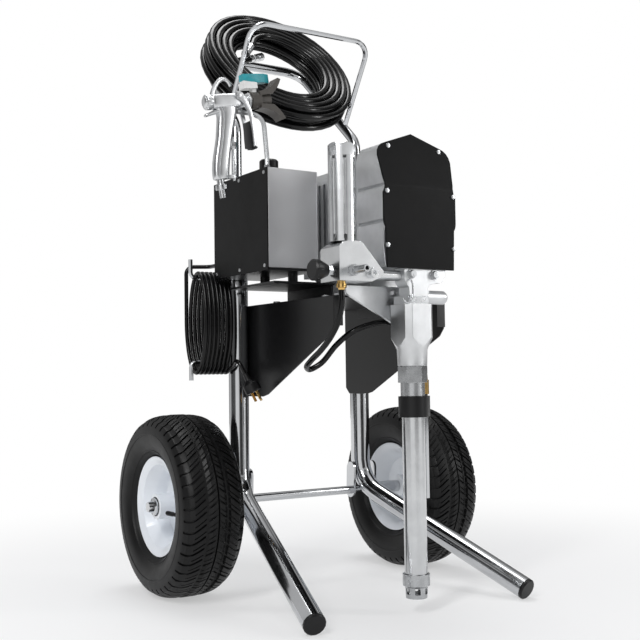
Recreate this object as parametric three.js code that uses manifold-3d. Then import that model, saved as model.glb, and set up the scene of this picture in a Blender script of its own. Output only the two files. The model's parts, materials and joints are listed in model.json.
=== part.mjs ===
// Airless paint sprayer on a two-wheeled upright cart.
// Millimetres, +Z up. The machine's front (cover plate, pump, feet) faces -Y and its left side is -X.
import * as THREE from 'three';
import { mergeVertices } from 'three/addons/utils/BufferGeometryUtils.js';
import Module from 'manifold-3d';

const wasm = await Module();
wasm.setup();

// ---------------------------------------------------------------- driving dimensions

const GAP = 0.3; // running and seating gap between neighbouring pieces

// Wheels and cart frame
const WHEEL_RADIUS = 165;
const WHEEL_TRACK = 529; // between the middles of the tyres
const WHEEL_X = WHEEL_TRACK / 2;
const TYRE_WIDTH = 120;
const RIM_RADIUS = 92;
const BEAD_RADIUS = RIM_RADIUS - 12;
const AXLE_RADIUS = 8;
const LEG_X = 139.5; // upright part of each leg
const LEG_Y = -4;
const LEG_RADIUS = 19;
const LEG_WALL = 2.5;
const LEG_TOP_Z = 650;
const LEG_BEND_Z = 180;
const LEG_BEND_RADIUS = 70;
const FOOT_SPREAD = 439; // between the centres of the two feet
const FOOT_REACH = 392; // in front of the wheels' axis
const FOOT_Z = 18.8;
const FOOT_CAP = 6;

// Handle and hose rack
const HANDLE_RADIUS = 10;
const HANDLE_BOTTOM_Z = 440;
const HANDLE_BEND_Z = 880;
const HANDLE_TOP_X = 117; // half the length of the grip bar
const HANDLE_TOP_Y = 178;
const HANDLE_TOP_Z = 1066;
const RACK_RADIUS = 5;
const RACK_FOOT_Z = HANDLE_BEND_Z + 36;
const RACK_TOP_Y = -66;
const RACK_TOP_Z = HANDLE_TOP_Z + 4;

// Deck and panels under the drive
const PANEL_X = 120; // outer face of each side panel
const PANEL_THICKNESS = 3;
const PANEL_TOP_Z = 533;
const PANEL_BOTTOM_Z = 360;
const PANEL_NOSE_Z = 480; // lowest point of the front edge
const PANEL_REAR_Y = 12;
const PANEL_FRONT_Y = -305;
const DECK_THICKNESS = 3;

// Drive: gear housing in front, motor behind it
const HEAD_X = 6;
const HEAD_HALF_WIDTH = 76;
const HEAD_BOTTOM_Z = 577;
const HEAD_SHOULDER_Z = 784;
const HEAD_APEX_Z = 804;
const HEAD_FRONT_Y = -384;
const HEAD_BACK_Y = -305;
const HEAD_WAIST_Z = 648; // groove between the lower two of the housing's three panels
const HEAD_CREASE_Z = 712; // the front leans back above this height
const HEAD_LEAN = THREE.MathUtils.degToRad(14);
const COVER_THICKNESS = 4;
const MOTOR_BACK_Y = -118;

// Control box
const BOX = { right: -97, back: LEG_Y - LEG_RADIUS - 5, bottom: 580, width: 104, depth: 201, height: 177 };
BOX.left = BOX.right - BOX.width;
BOX.front = BOX.back - BOX.depth;
BOX.top = BOX.bottom + BOX.height;
const SWITCH = { x: BOX.left + 20, z: BOX.top - 61 };
const SHELF_Z = 562; // shelf that carries the box's base tray

// Pump, standing on the axis PUMP_X, PUMP_Y
const PUMP_X = 0;
const PUMP_Y = -365;
const PUMP_TOP_Z = 516;
const PUMP_FOOT_Z = 412;
const COLLAR_Z = 361.3; // lower end of the steel collar under the pump
const INLET_Z = 26;
const DRAIN_FOOT_Z = 188;
const SUCTION_RADIUS = 19.5;
const DRAIN_X = 32; // from the pump's axis
const DRAIN_Y = 8;

// Filter and manifold
const BLOCK = { left: -160, front: -388, bottom: 550, width: 87, depth: 56, height: 65 };
BLOCK.right = BLOCK.left + BLOCK.width;
BLOCK.back = BLOCK.front + BLOCK.depth;
BLOCK.top = BLOCK.bottom + BLOCK.height;
const FILTER_X = -134;
const FILTER_Y = -360;
const FILTER_RADIUS = 23;
const FILTER_TOP_Z = 778;
const VALVE_Y = -358;
const VALVE_Z = BLOCK.bottom + 18;

// Spray gun, hung nose up on its rest rod
const REST_ROD = { x: BOX.left + 5, topX: BOX.left - 2, y: BOX.front + 7, z: BOX.top + 90.2, radius: 4 };
REST_ROD.end = REST_ROD.topX - 51;
const GUN_REAR = new THREE.Vector3(REST_ROD.topX - 109.5, REST_ROD.y, REST_ROD.z + 8);
const GUN_PITCH = THREE.MathUtils.degToRad(9);

// Sprayed-paint hose, wound and laid between the handle and the rack
const HOSE_RADIUS = 6.4;
const HOSE_LAYERS = 4;
const HOSE_TURNS_PER_LAYER = 4.5;
const HOSE_INNER_RADIUS = 98;
const HOSE_TURN_PITCH = 13.6;
const HOSE_LAYER_PITCH = 13.6;
const HOSE_STEPS = 16;
const COIL_CENTRE = new THREE.Vector3(0, 78.6, HANDLE_TOP_Z - 36.6);
const COIL_TILT = THREE.MathUtils.degToRad(52); // from lying flat to leaning on the handle

// Power cord, wound over two hooks on the outer side of the left leg
const CORD_RADIUS = 3.9;
const HANK_TURNS = 7.3;
const HANK_PITCH = 8.6;
const HANK_STEPS = 20;
const HANK_HALF_WIDTH = 38;
const HANK_BOTTOM_Z = 406;
const HOOK_UPPER_Z = 584;
const HOOK_LOWER_Z = 426;
const HOOK_TIP_X = -238;
const HOOK_Y = -2;
const HOOK_RADIUS = 4;
const HANK_START_X = -229;
const GLAND = { x: BOX.left + 13, z: BOX.bottom + 28, length: 16 };

// ---------------------------------------------------------------- materials

const paint = (color, roughness, metalness) =>
  new THREE.MeshStandardMaterial({ color, roughness, metalness });
const chrome = paint(0xc9ccd0, 0.12, 1.0);
const castAluminium = paint(0xb9bbbd, 0.38, 0.9);
const machinedAluminium = paint(0xd6d8da, 0.22, 1.0);
const steel = paint(0x8d9093, 0.35, 0.9);
const brass = paint(0xc0913c, 0.28, 1.0);
const blackPaint = paint(0x1a1a1c, 0.35, 0.2);
const greyPaint = paint(0xa7a9aa, 0.45, 0.3);
const whitePaint = paint(0xe4e6ea, 0.4, 0.1);
const blackPlastic = paint(0x141415, 0.5, 0.0);
const rubber = paint(0x18181a, 0.75, 0.0);
const tealPlastic = paint(0x1596a3, 0.45, 0.0);

// ---------------------------------------------------------------- geometry helpers

// Merges shared vertices, drops the slivers left at a pole and turns the faces outwards.
function weld(source) {
  const bare = new THREE.BufferGeometry();
  bare.setAttribute('position', source.getAttribute('position').clone());
  if (source.index) bare.setIndex(source.index.clone());
  const merged = mergeVertices(bare, 1e-3);
  const index = merged.index.array;
  const position = merged.getAttribute('position');
  const kept = [];
  const a = new THREE.Vector3();
  const b = new THREE.Vector3();
  const c = new THREE.Vector3();
  let volume = 0;
  for (let i = 0; i < index.length; i += 3) {
    const corner = [index[i], index[i + 1], index[i + 2]];
    if (new Set(corner).size < 3) continue;
    kept.push(...corner);
    a.fromBufferAttribute(position, corner[0]);
    b.fromBufferAttribute(position, corner[1]);
    c.fromBufferAttribute(position, corner[2]);
    volume += a.dot(b.cross(c));
  }
  if (volume < 0) {
    for (let i = 0; i < kept.length; i += 3) kept.splice(i, 3, kept[i], kept[i + 2], kept[i + 1]);
  }
  merged.setIndex(kept);
  return merged;
}

function toSolid(geometry) {
  const clean = weld(geometry);
  const vertProperties = new Float32Array(clean.getAttribute('position').array);
  const triVerts = new Uint32Array(clean.index.array);
  return new wasm.Manifold(new wasm.Mesh({ numProp: 3, vertProperties, triVerts }));
}

function toGeometry(solid) {
  const mesh = solid.getMesh();
  const geometry = new THREE.BufferGeometry();
  geometry.setAttribute('position', new THREE.BufferAttribute(mesh.vertProperties, 3));
  geometry.setIndex(new THREE.BufferAttribute(mesh.triVerts, 1));
  return geometry;
}

const join = (...pieces) => toGeometry(pieces.map(toSolid).reduce((whole, piece) => whole.add(piece)));
const cut = (base, ...tools) => {
  const solids = tools.map(toSolid);
  return toGeometry(solids.reduce((left, tool) => left.subtract(tool), toSolid(base)));
};
const overlap = (first, second) => toGeometry(toSolid(first).intersect(toSolid(second)));

function move(geometry, x, y, z) {
  return geometry.clone().translate(x, y, z);
}

function box(x0, x1, y0, y1, z0, z1) {
  const block = new THREE.BoxGeometry(x1 - x0, y1 - y0, z1 - z0);
  return block.translate((x0 + x1) / 2, (y0 + y1) / 2, (z0 + z1) / 2);
}

// Turns a profile of [radius, height] pairs about Z. A profile that starts off the axis is a closed ring.
function turned(profile, segments) {
  const points = profile.map(([radius, height]) => new THREE.Vector2(radius, height));
  if (profile[0][0] > 0) points.push(points[0].clone());
  return weld(new THREE.LatheGeometry(points, segments).rotateX(Math.PI / 2));
}

const alongX = (geometry) => geometry.rotateY(Math.PI / 2);
const alongFront = (geometry) => geometry.rotateX(Math.PI / 2);
const rod = (radius, z0, z1, segments) => turned([[0, z0], [radius, z0], [radius, z1], [0, z1]], segments);

function outline(points) {
  return new THREE.Shape(points.map(([x, y]) => new THREE.Vector2(x, y)));
}

// An outline drawn in X and Z, thick from y0 to y1.
function slabXZ(shape, y0, y1) {
  const slab = new THREE.ExtrudeGeometry(shape, { depth: y1 - y0, bevelEnabled: false, curveSegments: 4 });
  return slab.rotateX(Math.PI / 2).translate(0, y1, 0);
}

// An outline drawn in Y and Z, thick from x0 to x1.
function slabYZ(shape, x0, x1) {
  const slab = new THREE.ExtrudeGeometry(shape, { depth: x1 - x0, bevelEnabled: false, curveSegments: 4 });
  return slab.rotateZ(Math.PI / 2).rotateY(Math.PI / 2).translate(x0, 0, 0);
}

// An outline drawn in X and Y, thick from z0 to z1.
function slabXY(shape, z0, z1) {
  const slab = new THREE.ExtrudeGeometry(shape, { depth: z1 - z0, bevelEnabled: false, curveSegments: 4 });
  return slab.translate(0, 0, z0);
}

// A path through corner points with a round bend at each, parametrised ring by ring so that an
// extrusion along it puts its sections where the bends are.
class BentPath extends THREE.Curve {
  constructor(corners, bendRadius, bendSteps) {
    super();
    this.rings = [{ point: corners[0], tangent: corners[1].clone().sub(corners[0]).normalize() }];
    for (let i = 1; i < corners.length - 1; i += 1) {
      const radius = Array.isArray(bendRadius) ? bendRadius[i - 1] : bendRadius;
      this.addBend(corners[i - 1], corners[i], corners[i + 1], radius, bendSteps);
    }
    const last = corners[corners.length - 1];
    this.rings.push({ point: last, tangent: last.clone().sub(corners[corners.length - 2]).normalize() });
  }

  addBend(before, corner, after, radius, steps) {
    const into = corner.clone().sub(before).normalize();
    const out = after.clone().sub(corner).normalize();
    const angle = into.angleTo(out);
    const start = corner.clone().addScaledVector(into, -radius * Math.tan(angle / 2));
    const normal = out.clone().addScaledVector(into, -out.dot(into)).normalize();
    for (let k = 0; k <= steps; k += 1) {
      const turn = (angle * k) / steps;
      const point = start.clone().addScaledVector(into, radius * Math.sin(turn));
      point.addScaledVector(normal, radius * (1 - Math.cos(turn)));
      const tangent = into.clone().multiplyScalar(Math.cos(turn)).addScaledVector(normal, Math.sin(turn));
      this.rings.push({ point, tangent });
    }
  }

  get steps() {
    return this.rings.length - 1;
  }

  getPoint(t, target = new THREE.Vector3()) {
    const place = Math.min(Math.max(t, 0), 1) * this.steps;
    const first = Math.min(Math.floor(place), this.steps - 1);
    return target.lerpVectors(this.rings[first].point, this.rings[first + 1].point, place - first);
  }

  getPointAt(u, target) {
    return this.getPoint(u, target);
  }

  getTangentAt(u, target = new THREE.Vector3()) {
    return target.copy(this.rings[Math.round(u * this.steps)].tangent);
  }
}

// A path given by a list of points that are already close together, such as a winding's.
class PointPath extends BentPath {
  constructor(points) {
    super([points[0], points[1]], 0, 1);
    const last = points.length - 1;
    this.rings = points.map((point, i) => {
      const ahead = points[Math.min(i + 1, last)];
      const behind = points[Math.max(i - 1, 0)];
      return { point, tangent: ahead.clone().sub(behind).normalize() };
    });
  }
}

function roundSection(radius, sides, bore = 0) {
  const ring = (r) => Array.from({ length: sides }, (_, i) => {
    const angle = ((i + 0.5) * 2 * Math.PI) / sides;
    return new THREE.Vector2(r * Math.cos(angle), r * Math.sin(angle));
  });
  const section = new THREE.Shape(ring(radius));
  if (bore > 0) section.holes.push(new THREE.Path(ring(bore)));
  return section;
}

function tube(path, radius, sides, bore = 0) {
  const section = roundSection(radius, sides, bore);
  const options = { steps: path.steps, bevelEnabled: false, extrudePath: path };
  return weld(new THREE.ExtrudeGeometry(section, options));
}

const points3 = (list) => list.map(([x, y, z]) => new THREE.Vector3(x, y, z));
const bentRod = (corners, bend, steps, radius, sides, bore = 0) =>
  tube(new BentPath(points3(corners), bend, steps), radius, sides, bore);

// A hexagon of the given width across its corners, from z0 to z1.
const hexagon = (across, z0, z1) => rod(across / 2, z0, z1, 6);

function panHead(x, y, z) {
  return move(alongFront(turned([[0, -0.5], [4.6, -0.5], [4, 2.2], [0, 3]], 8)), x, y, z);
}

// ---------------------------------------------------------------- scene graph

const machine = new THREE.Group();
const looseNames = new Set();

function add(parent, name, geometry, material) {
  const mesh = new THREE.Mesh(weld(geometry), material);
  mesh.name = name;
  parent.add(mesh);
  return mesh;
}

function addLoose(parent, name, geometry, material) {
  looseNames.add(name);
  return add(parent, name, geometry, material);
}

function group(parent, x, y, z) {
  const holder = new THREE.Group();
  holder.position.set(x, y, z);
  parent.add(holder);
  return holder;
}

// ---------------------------------------------------------------- wheels

const TYRE_SEGMENTS = 28;
const LUG_DEPTH = 4.5;

// Tyre section as [radius, offset from the middle], outer skin then inner skin.
function tyreProfile() {
  const half = TYRE_WIDTH / 2;
  const tread = WHEEL_RADIUS;
  const outer = [
    [BEAD_RADIUS, -half + 26],
    [RIM_RADIUS - 1, -half + 20],
    [RIM_RADIUS + 20, -half + 2],
    [tread - 28, -half],
    [tread - 8, -half + 9],
    [tread, -half + 26],
  ];
  const mirrored = outer.map(([radius, offset]) => [radius, -offset]).reverse();
  const inner = [
    [BEAD_RADIUS, half - 34],
    [tread - 22, half - 16],
    [tread - 22, -half + 16],
    [BEAD_RADIUS, -half + 34],
  ];
  return [...outer, ...mirrored, ...inner];
}

// The shoulder of every second segment is drawn in, which makes the tyre's shoulder lugs.
function tyreGeometry() {
  const geometry = turned(tyreProfile(), TYRE_SEGMENTS);
  const position = geometry.getAttribute('position');
  const shoulder = TYRE_WIDTH / 2 - 14;
  for (let i = 0; i < position.count; i += 1) {
    const x = position.getX(i);
    const y = position.getY(i);
    const radius = Math.hypot(x, y);
    const segment = Math.round((Math.atan2(y, x) / (2 * Math.PI)) * TYRE_SEGMENTS);
    const isShoulder = radius > WHEEL_RADIUS - 14 && radius < WHEEL_RADIUS - 2;
    if (isShoulder && Math.abs(position.getZ(i)) > shoulder && segment % 2 !== 0) {
      const scale = (radius - LUG_DEPTH) / radius;
      position.setX(i, x * scale);
      position.setY(i, y * scale);
    }
  }
  return geometry;
}

// Pressed steel rim with its drop centre, dished disc and hub, as one turned section, and its valve.
function rimGeometry() {
  const flange = 43;
  const hubRadius = 23;
  const bore = AXLE_RADIUS + 0.5;
  const seat = BEAD_RADIUS - 1;
  const profile = [
    [bore, -30],
    [hubRadius, -30],
    [hubRadius, -9],
    [56, -9],
    [65, -22],
    [seat - 4, -flange + 5],
    [RIM_RADIUS - 2, -flange - 1],
    [seat, -flange + 6],
    [seat, -22],
    [69, -18],
    [69, 18],
    [seat, 22],
    [seat, flange - 6],
    [RIM_RADIUS - 2, flange + 1],
    [seat - 4, flange - 5],
    [65, 17],
    [62, -5],
    [hubRadius, -5],
    [hubRadius, 46],
    [bore, 46],
  ];
  const stem = turned([[0, -6], [3.6, -6], [3.6, 12], [2.4, 15], [2.4, 28], [0, 28]], 6);
  return join(turned(profile, 18), move(stem, 57, 0, -8));
}

function wheel(side, name) {
  const hub = group(machine, side * WHEEL_X, 0, WHEEL_RADIUS);
  hub.rotation.y = (side * Math.PI) / 2;
  add(hub, `${name}_tyre`, tyreGeometry(), rubber);
  add(hub, `${name}_rim`, rimGeometry(), whitePaint);
}

// ---------------------------------------------------------------- cart frame

function legCorners(side) {
  return [
    [side * LEG_X, LEG_Y, LEG_TOP_Z],
    [side * LEG_X, LEG_Y, LEG_BEND_Z],
    [(side * FOOT_SPREAD) / 2, -FOOT_REACH, FOOT_Z],
  ];
}

function leg(side, name) {
  const corners = legCorners(side);
  const bore = LEG_RADIUS - LEG_WALL;
  add(machine, `${name}_leg_tube`, bentRod(corners, LEG_BEND_RADIUS, 4, LEG_RADIUS, 16, bore), chrome);

  const foot = group(machine, ...corners[2]);
  const along = new THREE.Vector3(...corners[2]).sub(new THREE.Vector3(...corners[1])).normalize();
  foot.quaternion.setFromUnitVectors(new THREE.Vector3(0, 0, 1), along);
  const plug = turned([
    [0, -22], [bore * 0.97 - GAP, -22], [bore * 0.97 - GAP, GAP], [LEG_RADIUS, GAP],
    [LEG_RADIUS, FOOT_CAP - 2], [LEG_RADIUS - 2, FOOT_CAP], [0, FOOT_CAP],
  ], 16);
  add(foot, `${name}_foot_plug`, plug, blackPlastic);

  // Collar in the leg's open top, which guides the handle tube.
  const collar = turned([
    [HANDLE_RADIUS + 0.6, -40],
    [bore * 0.97 - GAP, -40],
    [bore * 0.97 - GAP, GAP],
    [LEG_RADIUS + 1.5, GAP],
    [LEG_RADIUS + 1.5, 5],
    [LEG_RADIUS - 3, 9],
    [HANDLE_RADIUS + 0.6, 9],
  ], 14);
  add(group(machine, side * LEG_X, LEG_Y, LEG_TOP_Z), `${name}_handle_collar`, collar, blackPlastic);
}

// One rod with a cap on each end carries both wheels. A pair of plates on it grips each leg's bend.
function axle() {
  const collarEnd = WHEEL_X - 31;
  const capStart = WHEEL_X + 47;
  const half = [
    [AXLE_RADIUS, LEG_X + 30], [12, LEG_X + 30], [12, collarEnd], [AXLE_RADIUS, collarEnd],
    [AXLE_RADIUS, capStart], [16, capStart], [16, capStart + 3], [11, capStart + 5],
    [9, capStart + 14], [0, capStart + 15],
  ];
  const otherHalf = half.map(([radius, offset]) => [radius, -offset]).reverse();
  const shaft = alongX(turned([...otherHalf, ...half], 12));
  const cheek = new THREE.Shape();
  cheek.absarc(0, 0, 15, Math.PI * 0.85, Math.PI * 1.85);
  cheek.absarc(-2, 44, 13, 0, Math.PI);
  const cheeks = [];
  for (const side of [-1, 1]) {
    for (const [near, far] of [[LEG_X - 23.9, LEG_X - 19.4], [LEG_X + 27, LEG_X + 31.5]]) {
      const [x0, x1] = side > 0 ? [near, far] : [-far, -near];
      cheeks.push(slabYZ(cheek, x0, x1));
    }
  }
  add(group(machine, 0, 0, WHEEL_RADIUS), 'axle', join(shaft, ...cheeks), chrome);
}

// Sheet-metal side panel. Its lower edge climbs towards the front.
function sidePanel(side, name) {
  const shape = outline([
    [PANEL_REAR_Y, PANEL_TOP_Z], [PANEL_REAR_Y, PANEL_BOTTOM_Z + 12], [PANEL_REAR_Y - 12, PANEL_BOTTOM_Z],
    [PANEL_REAR_Y - 74, PANEL_BOTTOM_Z], [PANEL_REAR_Y - 92, PANEL_BOTTOM_Z + 4],
    [PANEL_FRONT_Y + 12, PANEL_NOSE_Z - 14], [PANEL_FRONT_Y, PANEL_NOSE_Z], [PANEL_FRONT_Y, PANEL_TOP_Z],
  ]);
  const inner = PANEL_X - PANEL_THICKNESS;
  const [x0, x1] = side > 0 ? [inner, PANEL_X] : [-PANEL_X, -inner];
  const flange = side > 0 ? [inner - 16, PANEL_X] : [-PANEL_X, -inner + 16];
  const lip = box(flange[0], flange[1], PANEL_FRONT_Y - 3, PANEL_FRONT_Y, PANEL_NOSE_Z + 2, PANEL_TOP_Z);
  add(machine, `${name}_side_panel`, join(slabYZ(shape, x0, x1), lip), blackPaint);
}

function deck() {
  const inner = PANEL_X - PANEL_THICKNESS - GAP;
  const underside = PANEL_TOP_Z - DECK_THICKNESS;
  const tray = box(-inner, inner, PANEL_FRONT_Y + GAP, PANEL_REAR_Y, underside, PANEL_TOP_Z);
  const lips = [-1, 1].map((side) => {
    const [x0, x1] = side > 0 ? [inner - 3, inner] : [-inner, -inner + 3];
    return box(x0, x1, PANEL_FRONT_Y + 40, -40, PANEL_TOP_Z - 22, PANEL_TOP_Z - 1);
  });
  const heads = [-1, 1].flatMap((side) => [-70, -240].map((y) => {
    return move(hexagon(13, 0, 6), side * (PANEL_X - 28), y, PANEL_TOP_Z - 0.5);
  }));
  add(machine, 'deck_plate', join(tray, ...lips, ...heads), blackPaint);

  // Plate that stiffens the front edge of the deck. Its flange lies on the deck.
  const plateFront = BLOCK.back - 2;
  const plate = slabXZ(outline([
    [-112, PANEL_TOP_Z + 15], [62, PANEL_TOP_Z + 15], [62, PANEL_TOP_Z - 25], [34, PANEL_TOP_Z - 47],
    [2, PANEL_TOP_Z - 57], [-22, PANEL_TOP_Z - 45], [-104, PANEL_TOP_Z - 3], [-112, PANEL_TOP_Z + 3],
  ]), plateFront, plateFront + 6);
  const flange = box(-112, 62, plateFront + 3, PANEL_FRONT_Y + 7, PANEL_TOP_Z + GAP, PANEL_TOP_Z + 4);
  const bolt = move(alongFront(hexagon(13, 0, 6)), -12, plateFront + 0.5, PANEL_TOP_Z + 5);
  add(machine, 'front_bracket', join(plate, flange, bolt), castAluminium);
}

function cordHook(z, direction, name) {
  const root = -LEG_X - LEG_RADIUS - GAP;
  const rodGeometry = bentRod([
    [root - 3, HOOK_Y, z],
    [HOOK_TIP_X, HOOK_Y, z],
    [HOOK_TIP_X, HOOK_Y, z + direction * 34],
  ], 10, 4, HOOK_RADIUS, 8);
  const foot = box(root - 4, root, HOOK_Y - 7, HOOK_Y + 7, z - 14, z + 14);
  add(machine, name, join(rodGeometry, foot), chrome);
}

// ---------------------------------------------------------------- handle and hose rack

const handleCorners = [
  [-LEG_X, LEG_Y, HANDLE_BOTTOM_Z],
  [-LEG_X, LEG_Y, HANDLE_BEND_Z],
  [-HANDLE_TOP_X, HANDLE_TOP_Y, HANDLE_TOP_Z],
  [HANDLE_TOP_X, HANDLE_TOP_Y, HANDLE_TOP_Z],
  [LEG_X, LEG_Y, HANDLE_BEND_Z],
  [LEG_X, LEG_Y, HANDLE_BOTTOM_Z],
];

function handle() {
  const bends = [42, 40, 40, 42];
  add(machine, 'handle_tube', bentRod(handleCorners, bends, 4, HANDLE_RADIUS, 12), chrome);

  const climb = (RACK_FOOT_Z - HANDLE_BEND_Z) / (HANDLE_TOP_Z - HANDLE_BEND_Z);
  const footX = LEG_X + (HANDLE_TOP_X - LEG_X) * climb;
  const footY = LEG_Y + (HANDLE_TOP_Y - LEG_Y) * climb;
  const rack = bentRod([
    [-footX, footY, RACK_FOOT_Z],
    [-footX, RACK_TOP_Y, RACK_TOP_Z],
    [footX, RACK_TOP_Y, RACK_TOP_Z],
    [footX, footY, RACK_FOOT_Z],
  ], 34, 6, RACK_RADIUS, 8);
  const clearance = bentRod(handleCorners, bends, 4, HANDLE_RADIUS + GAP, 12);
  const trimmed = toSolid(rack).subtract(toSolid(clearance)).decompose();
  trimmed.sort((first, second) => second.volume() - first.volume());
  add(machine, 'hose_rack', toGeometry(trimmed[0]), chrome);
}

// ---------------------------------------------------------------- control box

function controlBox() {
  const skin = 2;
  const coverLeft = BOX.left + skin + GAP;
  const caseSection = new THREE.Shape();
  const corner = 5;
  caseSection.moveTo(coverLeft, BOX.front);
  caseSection.lineTo(BOX.right - corner, BOX.front);
  caseSection.absarc(BOX.right - corner, BOX.front + corner, corner, -Math.PI / 2, 0);
  caseSection.lineTo(BOX.right, BOX.back - corner);
  caseSection.absarc(BOX.right - corner, BOX.back - corner, corner, 0, Math.PI / 2);
  caseSection.lineTo(coverLeft, BOX.back);
  const shell = slabXY(caseSection, BOX.bottom + 4 + GAP, BOX.top);
  const bezel = move(box(-13, 13, -1, 2.2, -20, 20), SWITCH.x, BOX.back, SWITCH.z);
  const well = move(box(-9.6, 9.6, -12, 4, -15.6, 15.6), SWITCH.x, BOX.back, SWITCH.z);
  add(machine, 'control_box_case', cut(join(shell, bezel), well), greyPaint);

  // Side plate with a row of screws along its top and bottom edges.
  const plate = box(BOX.left, BOX.left + skin, BOX.front, BOX.back, BOX.bottom, BOX.top);
  const screws = [];
  for (const y of [BOX.front + 10, (BOX.front + BOX.back) / 2, BOX.back - 10]) {
    for (const z of [BOX.bottom + 8, BOX.top - 8]) {
      const head = turned([[0, -0.5], [3.6, -0.5], [3.2, 1.6], [0, 2.2]], 6).rotateY(-Math.PI / 2);
      screws.push(move(head, BOX.left, y, z));
    }
  }
  add(machine, 'control_box_side_plate', join(plate, ...screws), blackPaint);

  // Power switch: the rocker tips about a level pin inside its frame.
  const paddle = new THREE.Shape();
  paddle.moveTo(-7, -11);
  paddle.lineTo(1, -14.3);
  paddle.lineTo(2.8, -13.4);
  paddle.quadraticCurveTo(2.2, 0, 6.6, 12.6);
  paddle.lineTo(3, 14);
  paddle.lineTo(-7, 11);
  add(group(machine, SWITCH.x, BOX.back - 1, SWITCH.z), 'power_switch', slabYZ(paddle, -9, 9), blackPlastic);

  // Cord gland on the rear, low down.
  const gland = turned([
    [0, GAP], [9, GAP], [9, 4], [7.6, 5], [7.2, 10], [5, GLAND.length], [0, GLAND.length],
  ], 12).rotateX(-Math.PI / 2);
  add(group(machine, GLAND.x, BOX.back, GLAND.z), 'cord_gland', gland, blackPlastic);

  // The box's base tray stands on two posts on a shelf beside the drive, which is bolted to the deck.
  const tray = box(coverLeft, BOX.right, BOX.front, BOX.back, BOX.bottom, BOX.bottom + 4);
  const webX = BOX.right + 31;
  const shelf = box(BOX.left + 15, webX + 4, BOX.front + 4, BOX.back - 32, SHELF_Z - 4, SHELF_Z);
  const postPlaces = [BOX.front + 39, BOX.back - 62];
  const posts = postPlaces.map((y) => move(rod(9, SHELF_Z - 1, BOX.bottom + 1, 10), BOX.right - 31, y, 0));
  const web = box(webX, webX + 4, BOX.front + 10, BOX.back - 38, PANEL_TOP_Z + GAP, SHELF_Z - 2);
  const foot = box(webX, webX + 17, BOX.front + 10, BOX.back - 38, PANEL_TOP_Z + GAP, PANEL_TOP_Z + 4);
  add(machine, 'control_box_base', join(tray, shelf, ...posts, web, foot), blackPaint);

  const knobSection = turned([[0, 0], [5, 0], [5, 3], [17, 3], [17, 19], [14, 22], [0, 22]], 16);
  const flutes = Array.from({ length: 8 }, (_, i) => {
    const angle = ((i + 0.5) * 2 * Math.PI) / 8;
    return move(rod(2.2, 6, 26, 6), 17.8 * Math.cos(angle), 17.8 * Math.sin(angle), 0);
  });
  const knobPlace = group(machine, BOX.left + 30, BOX.front + 45, BOX.top + GAP);
  add(knobPlace, 'pressure_knob', cut(knobSection, ...flutes), blackPlastic);

  const rest = bentRod([
    [REST_ROD.x, REST_ROD.y, BOX.top + GAP],
    [REST_ROD.x, REST_ROD.y, BOX.top + 16],
    [REST_ROD.topX, REST_ROD.y, REST_ROD.z],
    [REST_ROD.end, REST_ROD.y, REST_ROD.z],
  ], [40, 22], 5, REST_ROD.radius, 8);
  const base = move(rod(4.9, BOX.top + GAP, BOX.top + 4, 10), REST_ROD.x, REST_ROD.y, 0);
  add(machine, 'gun_rest_rod', join(rest, base), steel);
}

// ---------------------------------------------------------------- drive

// Half outline of the gear housing, seen from the front: three swollen panels with a groove between
// each two, then the shoulder and the roof up to the ridge.
function headOutline(inset) {
  const half = HEAD_HALF_WIDTH - inset;
  const grooves = [HEAD_BOTTOM_Z, HEAD_WAIST_Z + 6, HEAD_CREASE_Z + 2, HEAD_SHOULDER_Z - 8];
  const side = [];
  for (let panel = 0; panel < 3; panel += 1) {
    const low = grooves[panel] + (panel > 0 ? 3 : 0);
    const high = grooves[panel + 1] - (panel < 2 ? 3 : 0);
    for (let k = 0; k <= 5; k += 1) {
      side.push([half - 5 + 5 * Math.sin((Math.PI * (0.5 + k)) / 6), low + ((high - low) * k) / 5]);
    }
    if (panel < 2) side.push([half - 8, grooves[panel + 1]]);
  }
  side.push([half - 13, HEAD_SHOULDER_Z + 2]);
  const ridge = [0, HEAD_APEX_Z];
  const left = side.map(([x, z]) => [-x, z]).reverse();
  return outline([...side, ridge, ...left].map(([x, z]) => [x + HEAD_X, z]));
}

// The cover's outline: straight sides with a drawn-in waist below the crease, round upper corners.
function coverOutline() {
  const half = HEAD_HALF_WIDTH;
  const shape = new THREE.Shape();
  shape.moveTo(HEAD_X - half + 6, HEAD_BOTTOM_Z - 2);
  shape.lineTo(HEAD_X + half - 6, HEAD_BOTTOM_Z - 2);
  shape.lineTo(HEAD_X + half - 4, HEAD_WAIST_Z - 5);
  shape.quadraticCurveTo(HEAD_X + half, HEAD_WAIST_Z, HEAD_X + half, HEAD_WAIST_Z + 8);
  shape.lineTo(HEAD_X + half, HEAD_CREASE_Z - 12);
  shape.quadraticCurveTo(HEAD_X + half - 7, HEAD_CREASE_Z - 2, HEAD_X + half - 3, HEAD_CREASE_Z + 10);
  shape.lineTo(HEAD_X + half + 1, HEAD_SHOULDER_Z - 20);
  shape.quadraticCurveTo(HEAD_X + half, HEAD_SHOULDER_Z, HEAD_X + half - 20, HEAD_SHOULDER_Z + 5);
  shape.lineTo(HEAD_X, HEAD_APEX_Z + 5);
  shape.lineTo(HEAD_X - half + 20, HEAD_SHOULDER_Z + 5);
  shape.quadraticCurveTo(HEAD_X - half, HEAD_SHOULDER_Z, HEAD_X - half - 1, HEAD_SHOULDER_Z - 20);
  shape.lineTo(HEAD_X - half + 3, HEAD_CREASE_Z + 10);
  shape.quadraticCurveTo(HEAD_X - half + 7, HEAD_CREASE_Z - 2, HEAD_X - half, HEAD_CREASE_Z - 12);
  shape.lineTo(HEAD_X - half, HEAD_WAIST_Z + 8);
  shape.quadraticCurveTo(HEAD_X - half, HEAD_WAIST_Z, HEAD_X - half + 4, HEAD_WAIST_Z - 5);
  return shape;
}

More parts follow.
